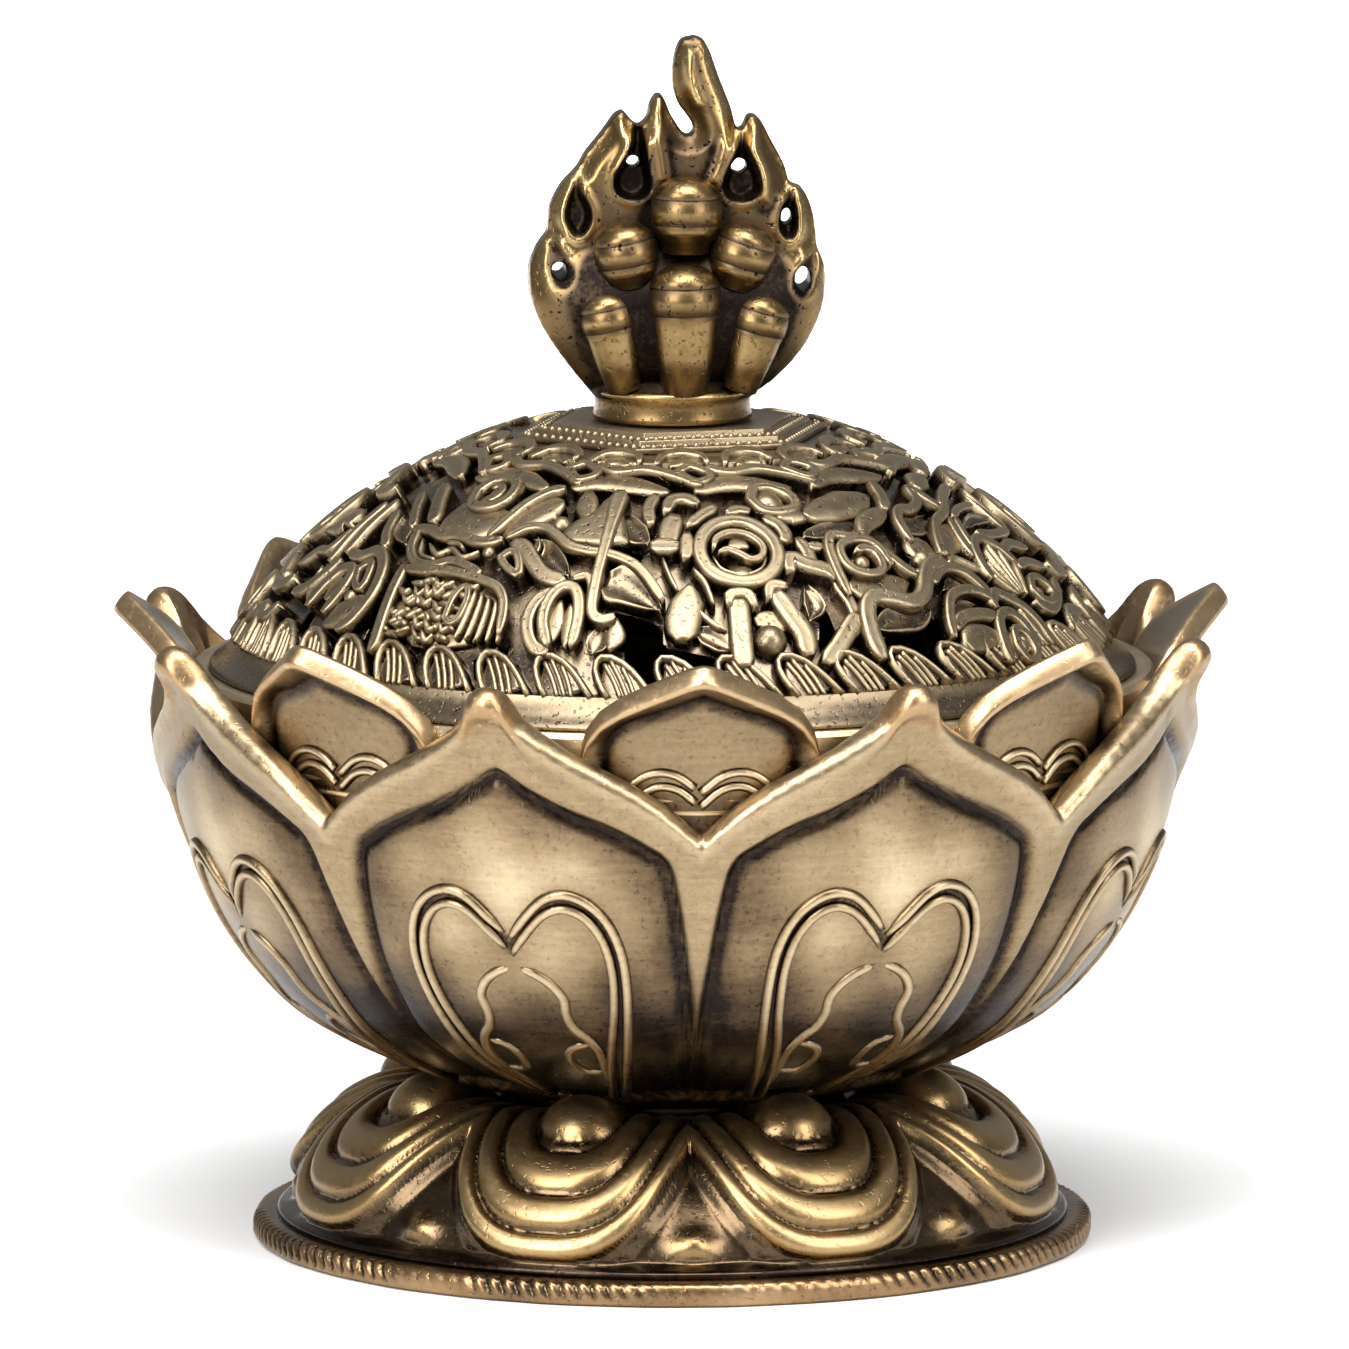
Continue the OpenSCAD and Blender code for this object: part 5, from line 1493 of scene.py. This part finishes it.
# ---------------------------------------------------------------- the loose mat
def mat():
    """The fibre mat: a soft-edged disc with a felted, slightly uneven face."""
    low, high = [corner.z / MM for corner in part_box("fireproof_mat")]
    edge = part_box("fireproof_mat")[1].x / MM
    line = [(0.0, low), (edge - 0.5, low), (edge - 0.1, low + 0.4), (edge, (low + high) / 2),
            (edge - 0.1, high - 0.4), (edge - 0.6, high), *[(edge * k / 12, high) for k in range(11, -1, -1)]]
    piece = turned("fibre_mat", line, 160)
    points = read_points(piece)
    azimuth = np.arctan2(points[:, 1], points[:, 0])
    reach = reach_of(points)
    wavy = 0.05 * np.sin(points[:, 0] * 1.1 + 0.6) * np.sin(points[:, 1] * 0.9) + 0.03 * np.sin(reach * 1.3)
    top_face = smooth_step(points[:, 2], high - 0.3, high)
    points[:, 2] += (wavy - 0.13) * top_face
    points[:, :2] *= (1 - 0.006 * (1 + np.sin(azimuth * 31)) * smooth_step(reach, edge - 1, edge))[:, None]
    write_points(piece, points)
    return piece


# ---------------------------------------------------------------- the studio
# In metres and degrees; the camera stands a little to the left of the burner's front
CAMERA_AWAY = 1.20434
CAMERA_HEIGHT = 0.22247
CAMERA_TURN = -3.2
AIM_HEIGHT = 0.0445


def studio():
    """A pale floor, soft lights on both sides and above, and the camera."""
    scene = bpy.context.scene
    scene.view_settings.view_transform = "Standard"
    bpy.ops.object.select_all(action="DESELECT")
    bpy.ops.mesh.primitive_plane_add(size=6)
    floor = bpy.context.object
    floor.name = "studio_floor"
    floor.data.materials.append(pale_floor())
    world = bpy.data.worlds.new("studio_world")
    scene.world = world
    world.use_nodes = True
    world.node_tree.nodes["Background"].inputs["Color"].default_value = (1, 1, 1, 1)
    world.node_tree.nodes["Background"].inputs["Strength"].default_value = 0.3
    burner_middle = (0, 0, 0.045)
    soft_light("soft_left", (-0.5, -0.6, 0.45), burner_middle, 0.4, 0.6, 8.6)
    soft_light("soft_right", (0.5, -0.5, 0.4), burner_middle, 0.3, 0.6, 4)
    soft_light("soft_above", (0, -0.25, 0.8), burner_middle, 0.6, 0.5, 10.5)
    soft_light("soft_backdrop", (0, 1.1, 0.9), (0, 1.1, 0), 2.4, 1.1, 34, spread=60)
    camera_data = bpy.data.cameras.new("camera")
    camera = bpy.data.objects.new("camera", camera_data)
    scene.collection.objects.link(camera)
    aim = Vector((0, 0, AIM_HEIGHT))
    turn = math.radians(CAMERA_TURN)
    camera.location = (CAMERA_AWAY * math.sin(turn), -CAMERA_AWAY * math.cos(turn), CAMERA_HEIGHT)
    camera.rotation_euler = (aim - camera.location).to_track_quat("-Z", "Y").to_euler()
    camera_data.sensor_width = 36
    camera_data.lens = 412.6
    camera_data.shift_x = 0.0016
    camera_data.clip_end = 20
    scene.camera = camera


def soft_light(name, place, aim, width, height, power, spread=180):
    """An area light at a place in metres, turned to face aim; spread is in degrees."""
    light_data = bpy.data.lights.new(name, "AREA")
    light_data.shape = "RECTANGLE"
    light_data.size = width
    light_data.size_y = height
    light_data.energy = power
    light_data.spread = math.radians(spread)
    light = bpy.data.objects.new(name, light_data)
    light.location = place
    light.rotation_euler = (Vector(aim) - light.location).to_track_quat("-Z", "Y").to_euler()
    bpy.context.scene.collection.objects.link(light)


def build():
    """Makes the finishes and every piece, and plates the CAD's own fasteners."""
    bowl_brass = cast_brass("bowl_brass", copper=0.5, speckle=0.12, streaks=0.8, pits=0.015)
    foot_brass = cast_brass("foot_brass", brass=(0.32, 0.21, 0.092), rubbed=(0.50, 0.378, 0.212), rough=0.35,
                            dark_rough=0.24, speckle=0.06, streaks=0.3, pits=0.02)
    ring_brass = cast_brass("ring_brass", brass=(0.29, 0.18, 0.09), rubbed=(0.48, 0.34, 0.19), rough=0.34,
                            dark_rough=0.24, speckle=0.2, streaks=0.2)
    lid_brass = cast_brass("lid_brass", brass=(0.225, 0.172, 0.106), brown=(0.10, 0.076, 0.058),
                           rubbed=(0.34, 0.272, 0.172), patina=(0.050, 0.039, 0.036),
                           rough=0.43, dark_rough=0.2, speckle=0.3, streaks=0.15)
    dark = cast_brass("neck_brass", dark_rough=0.3, speckle=0.3, streaks=0.1)
    finial_brass = cast_brass("finial_brass", brass=(0.17, 0.108, 0.044), rubbed=(0.40, 0.285, 0.13),
                              patina=(0.010, 0.007, 0.006), rough=0.28, dark_rough=0.42, speckle=0.4,
                              streaks=0.1)
    steel = plated_steel()
    felt = mineral_fibre()
    finished(lotus_bowl(), "burner", "antique_brass", bowl_brass, "lotus_bowl")
    finished(bowl_lines(), "burner", "antique_brass", bowl_brass)
    finished(inner_bowl(), "burner", "antique_brass", bowl_brass, "inner_bowl")
    finished(inner_petal_lines(), "burner", "antique_brass", bowl_brass)
    finished(foot(), "burner", "antique_brass", foot_brass, "foot")
    finished(base_ring(), "burner", "antique_brass", ring_brass, "base_ring")
    finished(neck(), "burner", "dark_brass", dark, "neck")
    finished(lid_casting(), "lid", "antique_brass", lid_brass, "lid")
    finished(wave_tongues(), "lid", "antique_brass", lid_brass)
    finished(openwork(0, "openwork_front"), "lid", "antique_brass", lid_brass)
    finished(openwork(180, "openwork_back"), "lid", "antique_brass", lid_brass)
    finished(cap_plate(), "lid", "antique_brass", lid_brass, "cap_plate")
    finished(finial(), "lid", "antique_brass", finial_brass, "finial")
    finished(mat(), "mat", "mineral_fibre", felt, "fireproof_mat")
    for node in ("centre_bolt", "bolt_washer", "bolt_nut", "finial_screw", "finial_washer"):
        fastener = bpy.data.objects[node]
        fastener.data.materials.clear()
        fastener.data.materials.append(steel)


build()
studio()
